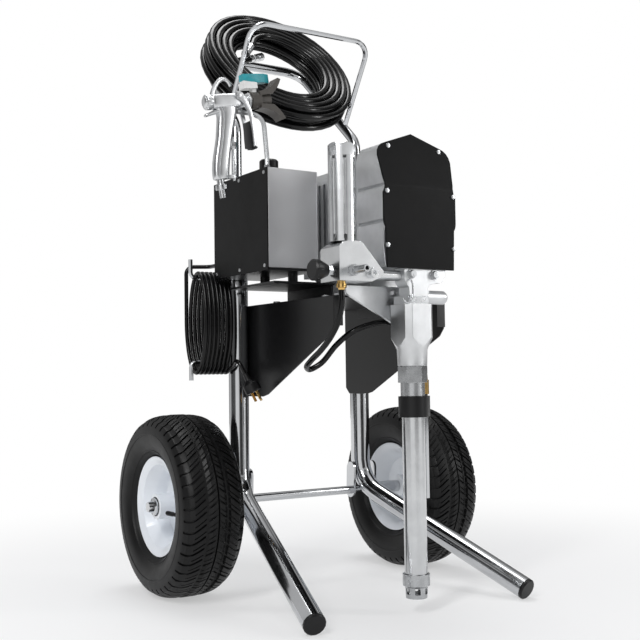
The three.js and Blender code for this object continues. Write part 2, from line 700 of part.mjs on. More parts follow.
// Side view of the front face: upright, then leaning back by HEAD_LEAN.
function frontLine(offset, z) {
  return HEAD_FRONT_Y - offset + Math.max(0, z - HEAD_CREASE_Z) * Math.tan(HEAD_LEAN);
}

function drive() {
  const above = HEAD_APEX_Z + 30;
  const keep = slabYZ(outline([
    [HEAD_BACK_Y, HEAD_BOTTOM_Z - 20], [HEAD_FRONT_Y + GAP, HEAD_BOTTOM_Z - 20],
    [HEAD_FRONT_Y + GAP, HEAD_CREASE_Z], [frontLine(0, above) + GAP, above], [HEAD_BACK_Y, above],
  ]), HEAD_X - 120, HEAD_X + 120);
  const casting = slabXZ(headOutline(1), HEAD_FRONT_Y, HEAD_BACK_Y);
  add(machine, 'gear_housing', overlap(casting, keep), castAluminium);

  const strip = slabYZ(outline([
    [HEAD_FRONT_Y, HEAD_BOTTOM_Z - 20], [HEAD_FRONT_Y - COVER_THICKNESS, HEAD_BOTTOM_Z - 20],
    [HEAD_FRONT_Y - COVER_THICKNESS, HEAD_CREASE_Z],
    [frontLine(COVER_THICKNESS, above), above], [frontLine(0, above), above], [HEAD_FRONT_Y, HEAD_CREASE_Z],
  ]), HEAD_X - 120, HEAD_X + 120);
  const cover = overlap(slabXZ(coverOutline(), HEAD_FRONT_Y - 20, HEAD_FRONT_Y + 60), strip);
  const screwPlaces = [
    [HEAD_HALF_WIDTH - 6, HEAD_BOTTOM_Z + 35],
    [HEAD_HALF_WIDTH - 6, HEAD_CREASE_Z - 10],
    [HEAD_HALF_WIDTH - 22, HEAD_SHOULDER_Z - 2],
  ];
  const screws = screwPlaces.flatMap(([x, z]) => [-1, 1].map((side) => {
    const y = frontLine(COVER_THICKNESS, z);
    return panHead(HEAD_X + side * x, y, z);
  }));
  add(machine, 'housing_cover', join(cover, ...screws), blackPaint);

  // Motor body behind the gear housing, with cooling slots through both flanks.
  const motorBack = MOTOR_BACK_Y;
  const half = HEAD_HALF_WIDTH - 9;
  const body = slabXZ(outline([
    [HEAD_X - half, HEAD_BOTTOM_Z], [HEAD_X + half, HEAD_BOTTOM_Z], [HEAD_X + half, HEAD_SHOULDER_Z - 32],
    [HEAD_X + half - 16, HEAD_SHOULDER_Z - 16], [HEAD_X, HEAD_SHOULDER_Z - 4],
    [HEAD_X - half + 16, HEAD_SHOULDER_Z - 16], [HEAD_X - half, HEAD_SHOULDER_Z - 32],
  ]), HEAD_BACK_Y + GAP, motorBack);
  const slots = [];
  for (let k = 0; k < 5; k += 1) {
    const y = motorBack - 26 - 16 * k;
    for (const side of [-1, 1]) {
      const near = HEAD_X + side * (half - 9);
      const far = HEAD_X + side * (half + 2);
      const [x0, x1] = [Math.min(near, far), Math.max(near, far)];
      slots.push(box(x0, x1, y - 4, y + 4, HEAD_BOTTOM_Z + 45, HEAD_SHOULDER_Z - 40));
    }
  }
  add(machine, 'motor_housing', cut(body, ...slots), blackPaint);

  const fanCover = turned([[0, 0], [58, 0], [58, 10], [50, 18], [0, 22]], 20);
  const vents = Array.from({ length: 8 }, (_, i) => {
    const slot = box(22, 44, -4, 4, 12, 30);
    return slot.rotateZ(((i + 0.5) * 2 * Math.PI) / 8);
  });
  const rear = group(machine, HEAD_X, motorBack + GAP, HEAD_BOTTOM_Z + 93);
  rear.rotation.x = -Math.PI / 2;
  add(rear, 'motor_fan_cover', cut(fanCover, ...vents), blackPlastic);

  const saddle = slabXZ(outline([
    [HEAD_X - 52, PANEL_TOP_Z + GAP], [HEAD_X + 52, PANEL_TOP_Z + GAP], [HEAD_X + 44, PANEL_TOP_Z + 8],
    [HEAD_X + 40, HEAD_BOTTOM_Z - 9], [HEAD_X + 50, HEAD_BOTTOM_Z - GAP], [HEAD_X - 50, HEAD_BOTTOM_Z - GAP],
    [HEAD_X - 40, HEAD_BOTTOM_Z - 9], [HEAD_X - 44, PANEL_TOP_Z + 8],
  ]), PANEL_FRONT_Y + 8, motorBack - 8);
  add(machine, 'drive_saddle', saddle, castAluminium);
}

// ---------------------------------------------------------------- pump

function pump() {
  const column = group(machine, PUMP_X, PUMP_Y, 0);

  // Cast neck that hangs the pump under the gear housing: bolted plate, throat and side boss.
  const face = new THREE.Shape();
  face.moveTo(-26, HEAD_BOTTOM_Z - GAP);
  face.lineTo(-26, HEAD_BOTTOM_Z - 17);
  face.quadraticCurveTo(-25, HEAD_BOTTOM_Z - 27, -17, HEAD_BOTTOM_Z - 33);
  face.lineTo(-15, PUMP_TOP_Z + 6);
  face.lineTo(24, PUMP_TOP_Z + 6);
  face.lineTo(26, HEAD_BOTTOM_Z - 29);
  face.quadraticCurveTo(40, HEAD_BOTTOM_Z - 24, 52, HEAD_BOTTOM_Z - 24);
  face.quadraticCurveTo(62, HEAD_BOTTOM_Z - 17, 62, HEAD_BOTTOM_Z - GAP);
  const plate = slabXZ(face, -17, 12);
  const throat = box(-22, 22, -20, 20, PUMP_TOP_Z + GAP, PUMP_TOP_Z + 14);
  const bossProfile = [[0, -12], [12, -12], [12, 68], [9, 72], [0, 72]];
  const boss = move(alongX(turned(bossProfile, 16)), 0, 0, PUMP_TOP_Z + 13);
  const bolts = [-12, 36].map((x) => {
    const bolt = alongFront(join(rod(8.5, -1, 1.6, 12), hexagon(13.5, 1, 8)));
    return move(bolt, x, -17, HEAD_BOTTOM_Z - 11);
  });
  add(column, 'pump_neck', join(plate, throat, boss, ...bolts), castAluminium);

  // Fluid section: a square block with broad chamfers that tapers to a round foot.
  const square = 29;
  const chamfer = 9;
  const blockShape = outline([
    [-square + chamfer, -square], [square - chamfer, -square], [square, -square + chamfer],
    [square, square - chamfer], [square - chamfer, square], [-square + chamfer, square],
    [-square, square - chamfer], [-square, -square + chamfer],
  ]);
  const block = slabXY(blockShape, PUMP_FOOT_Z + 8, PUMP_TOP_Z);
  const taper = turned([
    [0, PUMP_FOOT_Z], [25, PUMP_FOOT_Z], [26, PUMP_FOOT_Z + 28],
    [44, PUMP_FOOT_Z + 66], [44, PUMP_TOP_Z + 4], [0, PUMP_TOP_Z + 4],
  ], 20);
  const footRing = rod(26, PUMP_FOOT_Z + GAP, PUMP_FOOT_Z + 9, 20);
  add(column, 'pump_body', overlap(join(block, footRing), taper), castAluminium);

  const footNut = hexagon(50, COLLAR_Z + 23, PUMP_FOOT_Z);
  const collar = rod(20.5, COLLAR_Z + GAP, COLLAR_Z + 24, 20);
  add(column, 'pump_foot_nut', join(footNut, collar), steel);

  // Band that ties the drain tube to the suction tube.
  const band = new THREE.Shape();
  const lean = Math.atan2(DRAIN_Y, DRAIN_X);
  band.absarc(0, 0, 25, lean + Math.PI * 0.35, lean + Math.PI * 1.65);
  band.absarc(DRAIN_X, DRAIN_Y, 8.5, lean - Math.PI * 0.4, lean + Math.PI * 0.4);
  const clamp = slabXY(band, COLLAR_Z - 35, COLLAR_Z);
  const clampBores = [
    rod(SUCTION_RADIUS + GAP, COLLAR_Z - 41, COLLAR_Z - 4.4, 16),
    move(rod(5 + GAP, COLLAR_Z - 41, COLLAR_Z + 9, 10), DRAIN_X, DRAIN_Y, 0),
  ];
  add(column, 'tube_clamp', cut(clamp, ...clampBores), blackPlastic);

  const suction = turned([
    [SUCTION_RADIUS - 2, INLET_Z + 24 + GAP], [SUCTION_RADIUS, INLET_Z + 24 + GAP],
    [SUCTION_RADIUS, COLLAR_Z - 4.4 - GAP], [SUCTION_RADIUS - 2, COLLAR_Z - 4.4 - GAP],
  ], 16);
  add(column, 'suction_tube', suction, chrome);

  const strainer = turned([
    [0, INLET_Z], [18, INLET_Z], [19, INLET_Z + 18], [SUCTION_RADIUS + 3.5, INLET_Z + 21],
    [SUCTION_RADIUS + 3.5, INLET_Z + 40], [SUCTION_RADIUS + GAP, INLET_Z + 40],
    [SUCTION_RADIUS + GAP, INLET_Z + 24], [16, INLET_Z + 24], [16, INLET_Z + 4], [0, INLET_Z + 4],
  ], 16);
  const windows = [0, 1, 2].map((k) => {
    const opening = box(-30, 30, -4.5, 4.5, INLET_Z + 7, INLET_Z + 17);
    return opening.rotateZ((k * Math.PI) / 3);
  });
  add(column, 'inlet_strainer', cut(strainer, ...windows), steel);

  const drainTop = COLLAR_Z + 10.7;
  const pipe = turned([[3.4, DRAIN_FOOT_Z], [5, DRAIN_FOOT_Z], [5, drainTop], [3.4, drainTop]], 10);
  add(group(column, DRAIN_X, DRAIN_Y, 0), 'drain_tube', pipe, chrome);
  const union = turned([
    [5 + GAP, drainTop - 8], [7.4, drainTop - 8], [7.4, drainTop + 16], [5.6, drainTop + 17],
    [5, drainTop + 27], [0, drainTop + 27], [0, drainTop + GAP], [5 + GAP, drainTop + GAP],
  ], 10);
  add(group(column, DRAIN_X, DRAIN_Y, 0), 'drain_union', union, brass);
}

// ---------------------------------------------------------------- filter and manifold

function manifold() {
  const front = new THREE.Shape();
  front.moveTo(BLOCK.left, BLOCK.bottom);
  front.lineTo(BLOCK.right - 24, BLOCK.bottom);
  front.lineTo(BLOCK.right, BLOCK.bottom + 10);
  front.lineTo(BLOCK.right, BLOCK.bottom + 18);
  front.lineTo(FILTER_X + 22, BLOCK.top - 4);
  front.quadraticCurveTo(FILTER_X + 17, BLOCK.top, FILTER_X + 12, BLOCK.top);
  front.lineTo(FILTER_X - 8, BLOCK.top);
  front.quadraticCurveTo(-154, BLOCK.top - 2, BLOCK.left, BLOCK.top - 10);
  const side = slabYZ(outline([
    [BLOCK.front, BLOCK.bottom - 5], [BLOCK.back, BLOCK.bottom - 5], [BLOCK.back, BLOCK.top - 12],
    [BLOCK.back - 12, BLOCK.top + 5], [BLOCK.front, BLOCK.top + 5],
  ]), BLOCK.left - 5, BLOCK.right + 5);
  // A passage tube carries the paint across from the pump neck into the block.
  const block = overlap(slabXZ(front, BLOCK.front, BLOCK.back), side);
  const passage = alongX(rod(9, BLOCK.right - 4, PUMP_X - 26 - GAP, 12));
  const plug = cut(join(rod(10, -1, 2, 12), hexagon(17, 1.5, 9)), hexagon(8, 4, 12));
  const valveStem = join(hexagon(17, -1, 5), rod(4, 4, 14, 10)).rotateY(-Math.PI / 2);
  const whole = join(
    block,
    move(passage, 0, PUMP_Y, BLOCK.bottom + 14),
    move(alongFront(plug), BLOCK.right - 24, BLOCK.front, BLOCK.bottom + 14),
    move(valveStem, BLOCK.left, VALVE_Y, VALVE_Z),
  );
  add(machine, 'manifold_block', whole, machinedAluminium);

  const filter = turned([
    [0, BLOCK.top + GAP], [FILTER_RADIUS, BLOCK.top + GAP], [FILTER_RADIUS, FILTER_TOP_Z - 3],
    [FILTER_RADIUS - 4, FILTER_TOP_Z], [0, FILTER_TOP_Z],
  ], 24);
  const flat = FILTER_RADIUS - 3;
  const capFlats = [-1, 1].flatMap((side) => {
    const [near, far] = side > 0 ? [flat, flat + 9] : [-flat - 9, -flat];
    const capBottom = FILTER_TOP_Z - 22;
    return [
      box(near, far, -30, 30, capBottom, FILTER_TOP_Z + 1),
      box(-30, 30, near, far, capBottom, FILTER_TOP_Z + 1),
    ];
  });
  const flutes = Array.from({ length: 8 }, (_, i) => {
    const angle = ((i + 0.5) * 2 * Math.PI) / 8;
    const flute = rod(4, BLOCK.top + 12, FILTER_TOP_Z - 28, 6);
    return move(flute, (FILTER_RADIUS + 2.4) * Math.cos(angle), (FILTER_RADIUS + 2.4) * Math.sin(angle), 0);
  });
  const filterSolid = cut(filter, ...capFlats, ...flutes);
  add(group(machine, FILTER_X, FILTER_Y, 0), 'filter_tube', filterSolid, machinedAluminium);

  // Hose outlet: hexagon shoulder, threaded nipple and open bore, pointing forwards.
  const outlet = cut(join(hexagon(19, GAP, 9), rod(6.4, 8, 40, 12)), rod(3.6, 16, 44, 10));
  add(group(machine, FILTER_X, BLOCK.front, BLOCK.bottom + 17), 'outlet_nipple', alongFront(outlet), steel);
  // Prime and spray valve: a ribbed knob that turns on the stem in the block's left face.
  const valve = group(machine, BLOCK.left, VALVE_Y, VALVE_Z);
  valve.rotation.y = -Math.PI / 2;
  const knob = turned([
    [0, 14.4], [4.5, 14.4], [4.5, 5.4], [10, 5.4], [17.5, 22],
    [18, 31], [15, 34], [0, 34],
  ], 16);
  const grips = Array.from({ length: 8 }, (_, i) => {
    const angle = (i * 2 * Math.PI) / 8;
    return move(rod(3, 15, 40, 6), 19.4 * Math.cos(angle), 19.4 * Math.sin(angle), 0);
  });
  add(valve, 'prime_valve_knob', cut(knob, ...grips), blackPlastic);

  // Brass elbow under the block, where the drain hose starts.
  const elbow = turned([
    [0, -14], [5.6, -14], [6.2, -11], [8.6, -10.5], [8.6, -4], [7, -3.4], [7, -GAP], [0, -GAP],
  ], 12);
  add(group(machine, -146, -372, BLOCK.bottom), 'drain_elbow', elbow, brass);

  // Drain hose: down outside the left panel, back under its lower edge and across to the drain union.
  const hoseRoute = points3([
    [-146, -372, BLOCK.bottom - 14 - GAP], [-146, -372, 518], [-147, -364, 488], [-148, -342, 462],
    [-149, -312, 440], [-148, -280, 424], [-140, -252, 413], [-124, -238, 409], [-106, -246, 420],
    [-92, -272, 450], [-76, -298, 472], [-48, -312, 484], [-18, -316, 488], [8, -315, 479],
    [26, -319, 462], [35, -330, 444], [35, -346, 428], [33, -355, 414],
    [PUMP_X + DRAIN_X, PUMP_Y + DRAIN_Y, COLLAR_Z + 37.7 + GAP],
  ]);
  const spine = new THREE.CatmullRomCurve3(hoseRoute, false, 'centripetal');
  const steps = 25;
  const sampled = Array.from({ length: steps + 1 }, (_, i) => spine.getPoint(i / steps));
  const unionEnd = hoseRoute[hoseRoute.length - 1];
  sampled.splice(1, 0, hoseRoute[0].clone().lerp(hoseRoute[1], 0.3));
  sampled.splice(sampled.length - 1, 0, unionEnd.clone().add(new THREE.Vector3(0, 0, 6)));
  add(machine, 'drain_hose', tube(new PointPath(sampled), 5, 8), rubber);
}

// ---------------------------------------------------------------- spray gun

function sprayGun() {
  const gun = group(machine, GUN_REAR.x, GUN_REAR.y, GUN_REAR.z);
  gun.rotation.y = -GUN_PITCH;

  // Body: rear cap, flat-sided casting, hanging hook, raked grip and the paint tube in front of it.
  const rearCap = alongX(turned([[0, -4], [9, -4], [13.5, 0], [13.5, 9], [11, 12], [0, 12]], 16));
  const barrel = alongX(turned([[0, 11], [12, 11], [12, 72], [10, 78], [0, 78]], 12));
  const casting = box(14, 70, -11.5, 11.5, -13, 8);
  const hook = new THREE.Shape();
  hook.moveTo(12, 6);
  hook.quadraticCurveTo(18, 30, 36, 40);
  hook.quadraticCurveTo(48, 40, 53, 25);
  hook.lineTo(48, 23);
  hook.quadraticCurveTo(44, 33, 36, 30);
  hook.quadraticCurveTo(28, 22, 28, 6);
  const grip = new THREE.Shape();
  grip.moveTo(56, -8);
  grip.quadraticCurveTo(52, -26, 44, -52);
  grip.lineTo(24, -124);
  grip.lineTo(38, -124);
  grip.lineTo(38, -130);
  grip.lineTo(-7, -130);
  grip.quadraticCurveTo(-8, -96, 8, -60);
  grip.quadraticCurveTo(18, -38, 12, -30);
  grip.lineTo(-4, -25);
  grip.lineTo(-4, -19);
  grip.lineTo(16, -14);
  grip.lineTo(16, -8);
  const boss = box(30, 43, -5, 5, -80, -68);
  const paintTube = bentRod([[39.4, 0, -78], [33, 0, -127]], 0, 1, 3.4, 8);
  const body = join(rearCap, barrel, casting, slabXZ(hook, -4, 4), slabXZ(grip, -9, 9), boss, paintTube);
  add(gun, 'gun_body', body, machinedAluminium);

  // Trigger: two cheeks outside the body that meet in one blade below it, on a pin through the body.
  const cheek = new THREE.Shape();
  cheek.moveTo(-6, 2);
  cheek.quadraticCurveTo(-1, 9, 7, 6);
  cheek.quadraticCurveTo(24, -4, 22, -34);
  cheek.quadraticCurveTo(18, -60, 17, -84);
  cheek.lineTo(11, -86);
  cheek.quadraticCurveTo(11, -60, 12, -42);
  cheek.quadraticCurveTo(8, -14, -6, -4);
  const blade = new THREE.Shape();
  blade.moveTo(20.6, -46);
  blade.quadraticCurveTo(17.5, -64, 17, -84);
  blade.lineTo(11, -86);
  blade.quadraticCurveTo(11, -66, 14, -46);
  const trigger = group(gun, 57, 0, 6);
  const cheeks = [slabXZ(cheek, -15, -12.3), slabXZ(cheek, 12.3, 15)];
  const pinHeads = [slabXZ(outline([[-3, -3], [3, -3], [3, 3], [-3, 3]]), -17, -14)];
  add(trigger, 'gun_trigger', join(...cheeks, slabXZ(blade, -13, 13), ...pinHeads), machinedAluminium);
  const lock = join(alongFront(rod(4.5, -2.2, 2.2, 10)), box(-2.2, 2.2, -2.2, 2.2, -17, 0));
  add(group(gun, 36, 14.6, -3), 'trigger_lock', lock, blackPlastic);

  // Diffuser nut, tip guard with its two wings, and the reversible tip across it.
  const nut = alongX(join(hexagon(29, 78 + GAP, 82), rod(12, 81, 84.2, 12)));
  add(gun, 'diffuser_nut', nut, machinedAluminium);
  const guardGroup = group(gun, 84.2 + GAP, 0, 0);
  const wingShape = new THREE.Shape();
  wingShape.moveTo(15, 7);
  wingShape.lineTo(40, 9);
  wingShape.quadraticCurveTo(54, 20, 60, 34);
  wingShape.lineTo(54, 36);
  wingShape.quadraticCurveTo(44, 19, 15, 14);
  const wings = [1, -1].map((side) => {
    const wing = slabXZ(wingShape, -13, 13);
    return side > 0 ? wing : wing.rotateX(Math.PI);
  });
  const collar = alongX(turned([[0, 0], [15, 0], [15, 18], [11, 20], [11, 38], [0, 38]], 16));
  const spray = alongX(turned([[0, 34], [3.4, 34], [8, 40], [0, 40]], 12));
  const tipBore = rod(6.4, -40, 40, 12).translate(9.7, 0, 0);
  add(guardGroup, 'tip_guard', cut(join(collar, ...wings), tipBore, spray), blackPlastic);
  const tip = group(guardGroup, 9.7, 0, 0);
  const stem = rod(6, -12, 21, 12);
  const base = box(-22, 5, -9, 9, 20, 31);
  const arrow = outline([[-20, -7.5], [20, -7.5], [34, 0], [20, 7.5], [-20, 7.5]]);
  add(tip, 'spray_tip', join(stem, base, slabXY(arrow, 30, 45)), tealPlastic);

  // Swivel at the foot of the grip, where the hose screws on.
  const swivel = turned([
    [0, -GAP], [6.5, -GAP], [6.5, -8], [10.5, -9], [10.5, -17], [5.5, -18], [5.5, -31], [0, -31],
  ], 12);
  add(group(gun, 6, 0, -130), 'gun_swivel', swivel, machinedAluminium);
}

// ---------------------------------------------------------------- wound hose

const COIL_TURNS = HOSE_LAYERS * HOSE_TURNS_PER_LAYER;

// How far the winding has gone out (0 to 1 and back) and up (0 to 3) after a number of turns.
function coilPlace(turn) {
  const phase = turn / HOSE_TURNS_PER_LAYER;
  const layer = Math.min(Math.floor(phase), HOSE_LAYERS - 1);
  const within = phase - layer;
  const out = layer % 2 === 0 ? within : 1 - within;
  let level = layer;
  const climbHalf = 0.25 / HOSE_TURNS_PER_LAYER;
  if (within < climbHalf && layer > 0) level = layer - 0.5 + (0.5 * within) / climbHalf;
  if (within > 1 - climbHalf && layer < HOSE_LAYERS - 1) {
    level = layer + 0.5 - (0.5 * (1 - within)) / climbHalf;
  }
  return { out: out * HOSE_TURNS_PER_LAYER * HOSE_TURN_PITCH, level };
}

const END_SWING = 0.2; // last part of a turn over which each end leaves the winding
const END_INSET = 26;

function coilPoint(turn) {
  const { out, level } = coilPlace(turn);
  const fromEnd = Math.min(turn, COIL_TURNS - turn);
  const swing = Math.max(0, 1 - fromEnd / END_SWING);
  const radius = HOSE_INNER_RADIUS + out - END_INSET * swing * swing;
  const angle = turn * 2 * Math.PI + Math.PI * 0.72;
  const height = (level - (HOSE_LAYERS - 1) / 2) * HOSE_LAYER_PITCH;
  return new THREE.Vector3(radius * Math.cos(angle), radius * Math.sin(angle), height);
}

// Least distance between stretches of a winding that are more than half a turn apart, less a diameter.
function leastGap(path, radius, stepsApart) {
  let least = Infinity;
  const segment = new THREE.Line3();
  const nearest = new THREE.Vector3();
  for (let i = 0; i < path.length; i += 1) {
    for (let j = i + stepsApart; j < path.length - 1; j += 1) {
      segment.set(path[j], path[j + 1]);
      segment.closestPointToPoint(path[i], true, nearest);
      least = Math.min(least, nearest.distanceTo(path[i]) - 2 * radius);
    }
  }
  return least;
}

function endPiece(parent, name, point, direction, geometry, material) {
  const holder = group(parent, point.x, point.y, point.z);
  holder.quaternion.setFromUnitVectors(new THREE.Vector3(0, 0, 1), direction);
  return addLoose(holder, name, geometry, material);
}

function woundHose() {
  const coil = group(machine, COIL_CENTRE.x, COIL_CENTRE.y, COIL_CENTRE.z);
  coil.rotation.x = COIL_TILT;
  const count = COIL_TURNS * HOSE_STEPS;
  const path = Array.from({ length: count + 1 }, (_, i) => coilPoint((i * COIL_TURNS) / count));
  const straight = 2 * HOSE_RADIUS;
  const startWay = path[0].clone().sub(path[1]).normalize();
  const endWay = path[count].clone().sub(path[count - 1]).normalize();
  const start = path[0].clone().addScaledVector(startWay, straight);
  const end = path[count].clone().addScaledVector(endWay, straight);
  path.unshift(start);
  path.push(end);
  console.log(`hose_coil least gap to itself: ${leastGap(path, HOSE_RADIUS, HOSE_STEPS / 2).toFixed(2)} mm`);
  const route = new PointPath(path);
  route.rings[1].tangent = startWay.clone().negate();
  route.rings[count + 1].tangent = endWay.clone();
  addLoose(coil, 'hose_coil', tube(route, HOSE_RADIUS, 6), rubber);

  // Crimped ferrule and swivel nut on each end.
  const fitting = turned([
    [0, GAP], [8.2, GAP], [8.2, 10], [7.2, 11], [8.2, 12], [8.2, 22], [5.5, 24],
    [5.5, 27], [8.8, 28], [8.8, 40], [0, 42],
  ], 8);
  endPiece(coil, 'hose_end_fitting_rear', start, startWay, fitting, machinedAluminium);
  endPiece(coil, 'hose_end_fitting_front', end, endWay, fitting, machinedAluminium);
}

// ---------------------------------------------------------------- power cord

const HANK_TOP_Z = HOOK_UPPER_Z + HOOK_RADIUS + CORD_RADIUS + 0.8;

// Seen from the left, the winding goes down its rear flank, forward below, and up its front flank.
// It hangs from the upper hook and works inwards from the hooks' tips to the leg.
function hankPoint(turn) {
  const angle = turn * 2 * Math.PI;
  const halfHeight = (HANK_TOP_Z - HANK_BOTTOM_Z) / 2;
  return new THREE.Vector3(
    HANK_START_X + HANK_PITCH * turn,
    HOOK_Y + HANK_HALF_WIDTH * Math.cos(angle),
    HANK_BOTTOM_Z + halfHeight - halfHeight * Math.sin(angle),
  );
}

function powerCord() {
  const count = Math.round(HANK_TURNS * HANK_STEPS);
  const path = Array.from({ length: count + 1 }, (_, i) => hankPoint((i * HANK_TURNS) / count));
  const straight = 2 * CORD_RADIUS;
  const down = new THREE.Vector3(0, 0, -1);
  const forward = path[count].clone().sub(path[count - 1]).normalize();
  const start = path[0].clone().addScaledVector(down, -straight);
  const end = path[count].clone().addScaledVector(forward, straight);
  path.unshift(start);
  path.push(end);
  const gap = leastGap(path, CORD_RADIUS, HANK_STEPS / 2);
  console.log(`power_cord_hank least gap to itself: ${gap.toFixed(2)} mm`);
  const route = new PointPath(path);
  route.rings[0].tangent = down.clone();
  route.rings[1].tangent = down.clone();
  route.rings[count + 1].tangent = forward.clone();
  addLoose(machine, 'power_cord_hank', tube(route, CORD_RADIUS, 6), rubber);

  const lead = bentRod([
    [GLAND.x, BOX.back + GLAND.length + GAP, GLAND.z],
    [GLAND.x, BOX.back + GLAND.length + 28, GLAND.z],
    [start.x, start.y, GLAND.z],
    [start.x, start.y, start.z + GAP],
  ], 14, 4, CORD_RADIUS, 8);
  addLoose(machine, 'power_cord_lead', lead, rubber);

  // The tail leaves the winding forwards beside the leg and turns down into the plug.
  const plugWay = new THREE.Vector3(0.36, -0.26, -0.9).normalize();
  const crest = end.clone().addScaledVector(forward, 46).add(new THREE.Vector3(-10, 0, 2));
  const plugBack = crest.clone().addScaledVector(plugWay, 32);
  const tail = tube(new BentPath([
    end.clone().addScaledVector(forward, GAP),
    end.clone().addScaledVector(forward, 14),
    crest,
    plugBack.clone().addScaledVector(plugWay, -GAP),
  ], [30, 13], 4), CORD_RADIUS, 8);
  addLoose(machine, 'power_cord_tail', tail, rubber);
  const shell = turned([
    [0, 0], [4.6, 0], [6.4, 14], [15.5, 22], [16, 36], [14, 38], [0, 38],
  ], 12);
  const blades = [-6.3, 6.3].map((x) => box(x - 0.8, x + 0.8, -3.2, 3.2, 37, 55));
  const earth = move(rod(2.4, 37, 58, 8), 0, 7.6, 0);
  endPiece(machine, 'power_plug', plugBack, plugWay, join(shell, ...blades, earth), blackPlastic);
}

// ---------------------------------------------------------------- assembly

wheel(-1, 'left');
wheel(1, 'right');
leg(-1, 'left');
leg(1, 'right');
axle();
sidePanel(-1, 'left');
sidePanel(1, 'right');
deck();
cordHook(HOOK_UPPER_Z, 1, 'cord_hook_upper');
cordHook(HOOK_LOWER_Z, -1, 'cord_hook_lower');
handle();
controlBox();
drive();
pump();
manifold();
sprayGun();
woundHose();
powerCord();

// The origin lies on the floor under the middle of everything but the loose cords.
machine.updateMatrixWorld(true);
const extent = new THREE.Box3();
machine.traverse((piece) => {
  if (piece.isMesh && !looseNames.has(piece.name)) extent.union(new THREE.Box3().setFromObject(piece, true));
});
const middle = extent.getCenter(new THREE.Vector3());
machine.position.set(-middle.x, -middle.y, -extent.min.z);
console.log(`machine frame shift: ${machine.position.toArray().map((v) => v.toFixed(3)).join(' ')}`);

export default machine;
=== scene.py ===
"""Looks of the airless paint sprayer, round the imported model. Metres, +Z up, front faces -Y."""
import json
import math

import bmesh
import bpy
from mathutils import Matrix, Vector


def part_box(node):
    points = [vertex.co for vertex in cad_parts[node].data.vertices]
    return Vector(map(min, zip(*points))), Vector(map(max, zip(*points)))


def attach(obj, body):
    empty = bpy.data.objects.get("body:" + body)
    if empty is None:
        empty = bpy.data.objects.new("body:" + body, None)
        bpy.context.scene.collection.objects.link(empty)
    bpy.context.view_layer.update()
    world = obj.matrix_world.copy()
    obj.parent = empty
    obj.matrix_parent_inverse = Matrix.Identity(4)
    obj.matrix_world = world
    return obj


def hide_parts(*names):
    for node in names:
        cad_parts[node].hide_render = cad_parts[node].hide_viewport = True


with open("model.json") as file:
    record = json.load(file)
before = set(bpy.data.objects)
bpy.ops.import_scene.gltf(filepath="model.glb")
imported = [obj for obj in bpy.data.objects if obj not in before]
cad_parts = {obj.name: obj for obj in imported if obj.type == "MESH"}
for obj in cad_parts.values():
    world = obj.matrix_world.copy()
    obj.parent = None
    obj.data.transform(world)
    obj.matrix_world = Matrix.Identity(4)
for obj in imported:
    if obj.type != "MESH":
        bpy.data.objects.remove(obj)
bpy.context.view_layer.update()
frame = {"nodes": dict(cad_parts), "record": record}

scene = bpy.context.scene
TAU = 2 * math.pi
MM = 0.001
AXLE_Y = 0.120005  # the wheels' axis in the row frame


def at(x, y, z):
    """A point in millimetres from the wheels' axis (x, y) and the floor (z), in the row frame."""
    return Vector((x * MM, y * MM + AXLE_Y, z * MM))


# ---------------------------------------------------------------- camera

# Fitted to the photograph: where the camera stands, how it is turned and its lens.
CAMERA_PLACE = (-1.0732, -1.6418, 0.4016)
CAMERA_YAW = math.radians(32.49)
CAMERA_PITCH = math.radians(2.954)
CAMERA_ROLL = math.radians(-0.803)
CAMERA_LENS = 58.37


def make_camera():
    yaw, pitch, roll = CAMERA_YAW, CAMERA_PITCH, CAMERA_ROLL
    ahead = Vector((
        math.sin(yaw) * math.cos(pitch), math.cos(yaw) * math.cos(pitch), math.sin(pitch)
    ))
    level = Vector((math.cos(yaw), -math.sin(yaw), 0))
    above = level.cross(ahead)
    right = math.cos(roll) * level + math.sin(roll) * above
    up = math.cos(roll) * above - math.sin(roll) * level
    data = bpy.data.cameras.new("camera")
    data.sensor_width = 36
    data.lens = CAMERA_LENS
    data.clip_start = 0.05
    camera = bpy.data.objects.new("camera", data)
    scene.collection.objects.link(camera)
    turn = Matrix((right, up, -ahead)).transposed().to_4x4()
    camera.matrix_world = Matrix.Translation(CAMERA_PLACE) @ turn
    scene.camera = camera


make_camera()


# ---------------------------------------------------------------- paths for hoses and cords

BEND_STEPS = 8
TUBE_SHARP = math.radians(60)  # only the flat ends of a tube are sharper


def rounded(corners, radii):
    """A path through corner points with a round bend at each inner one."""
    path = [corners[0]]
    for before, corner, after, radius in zip(corners, corners[1:], corners[2:], radii):
        into = (corner - before).normalized()
        out = (after - corner).normalized()
        angle = into.angle(out)
        start = corner - into * radius * math.tan(angle / 2)
        side = (out - into * out.dot(into)).normalized()
        for k in range(BEND_STEPS + 1):
            turn = angle * k / BEND_STEPS
            path.append(
                start + into * radius * math.sin(turn) + side * radius * (1 - math.cos(turn))
            )
    return path + [corners[-1]]


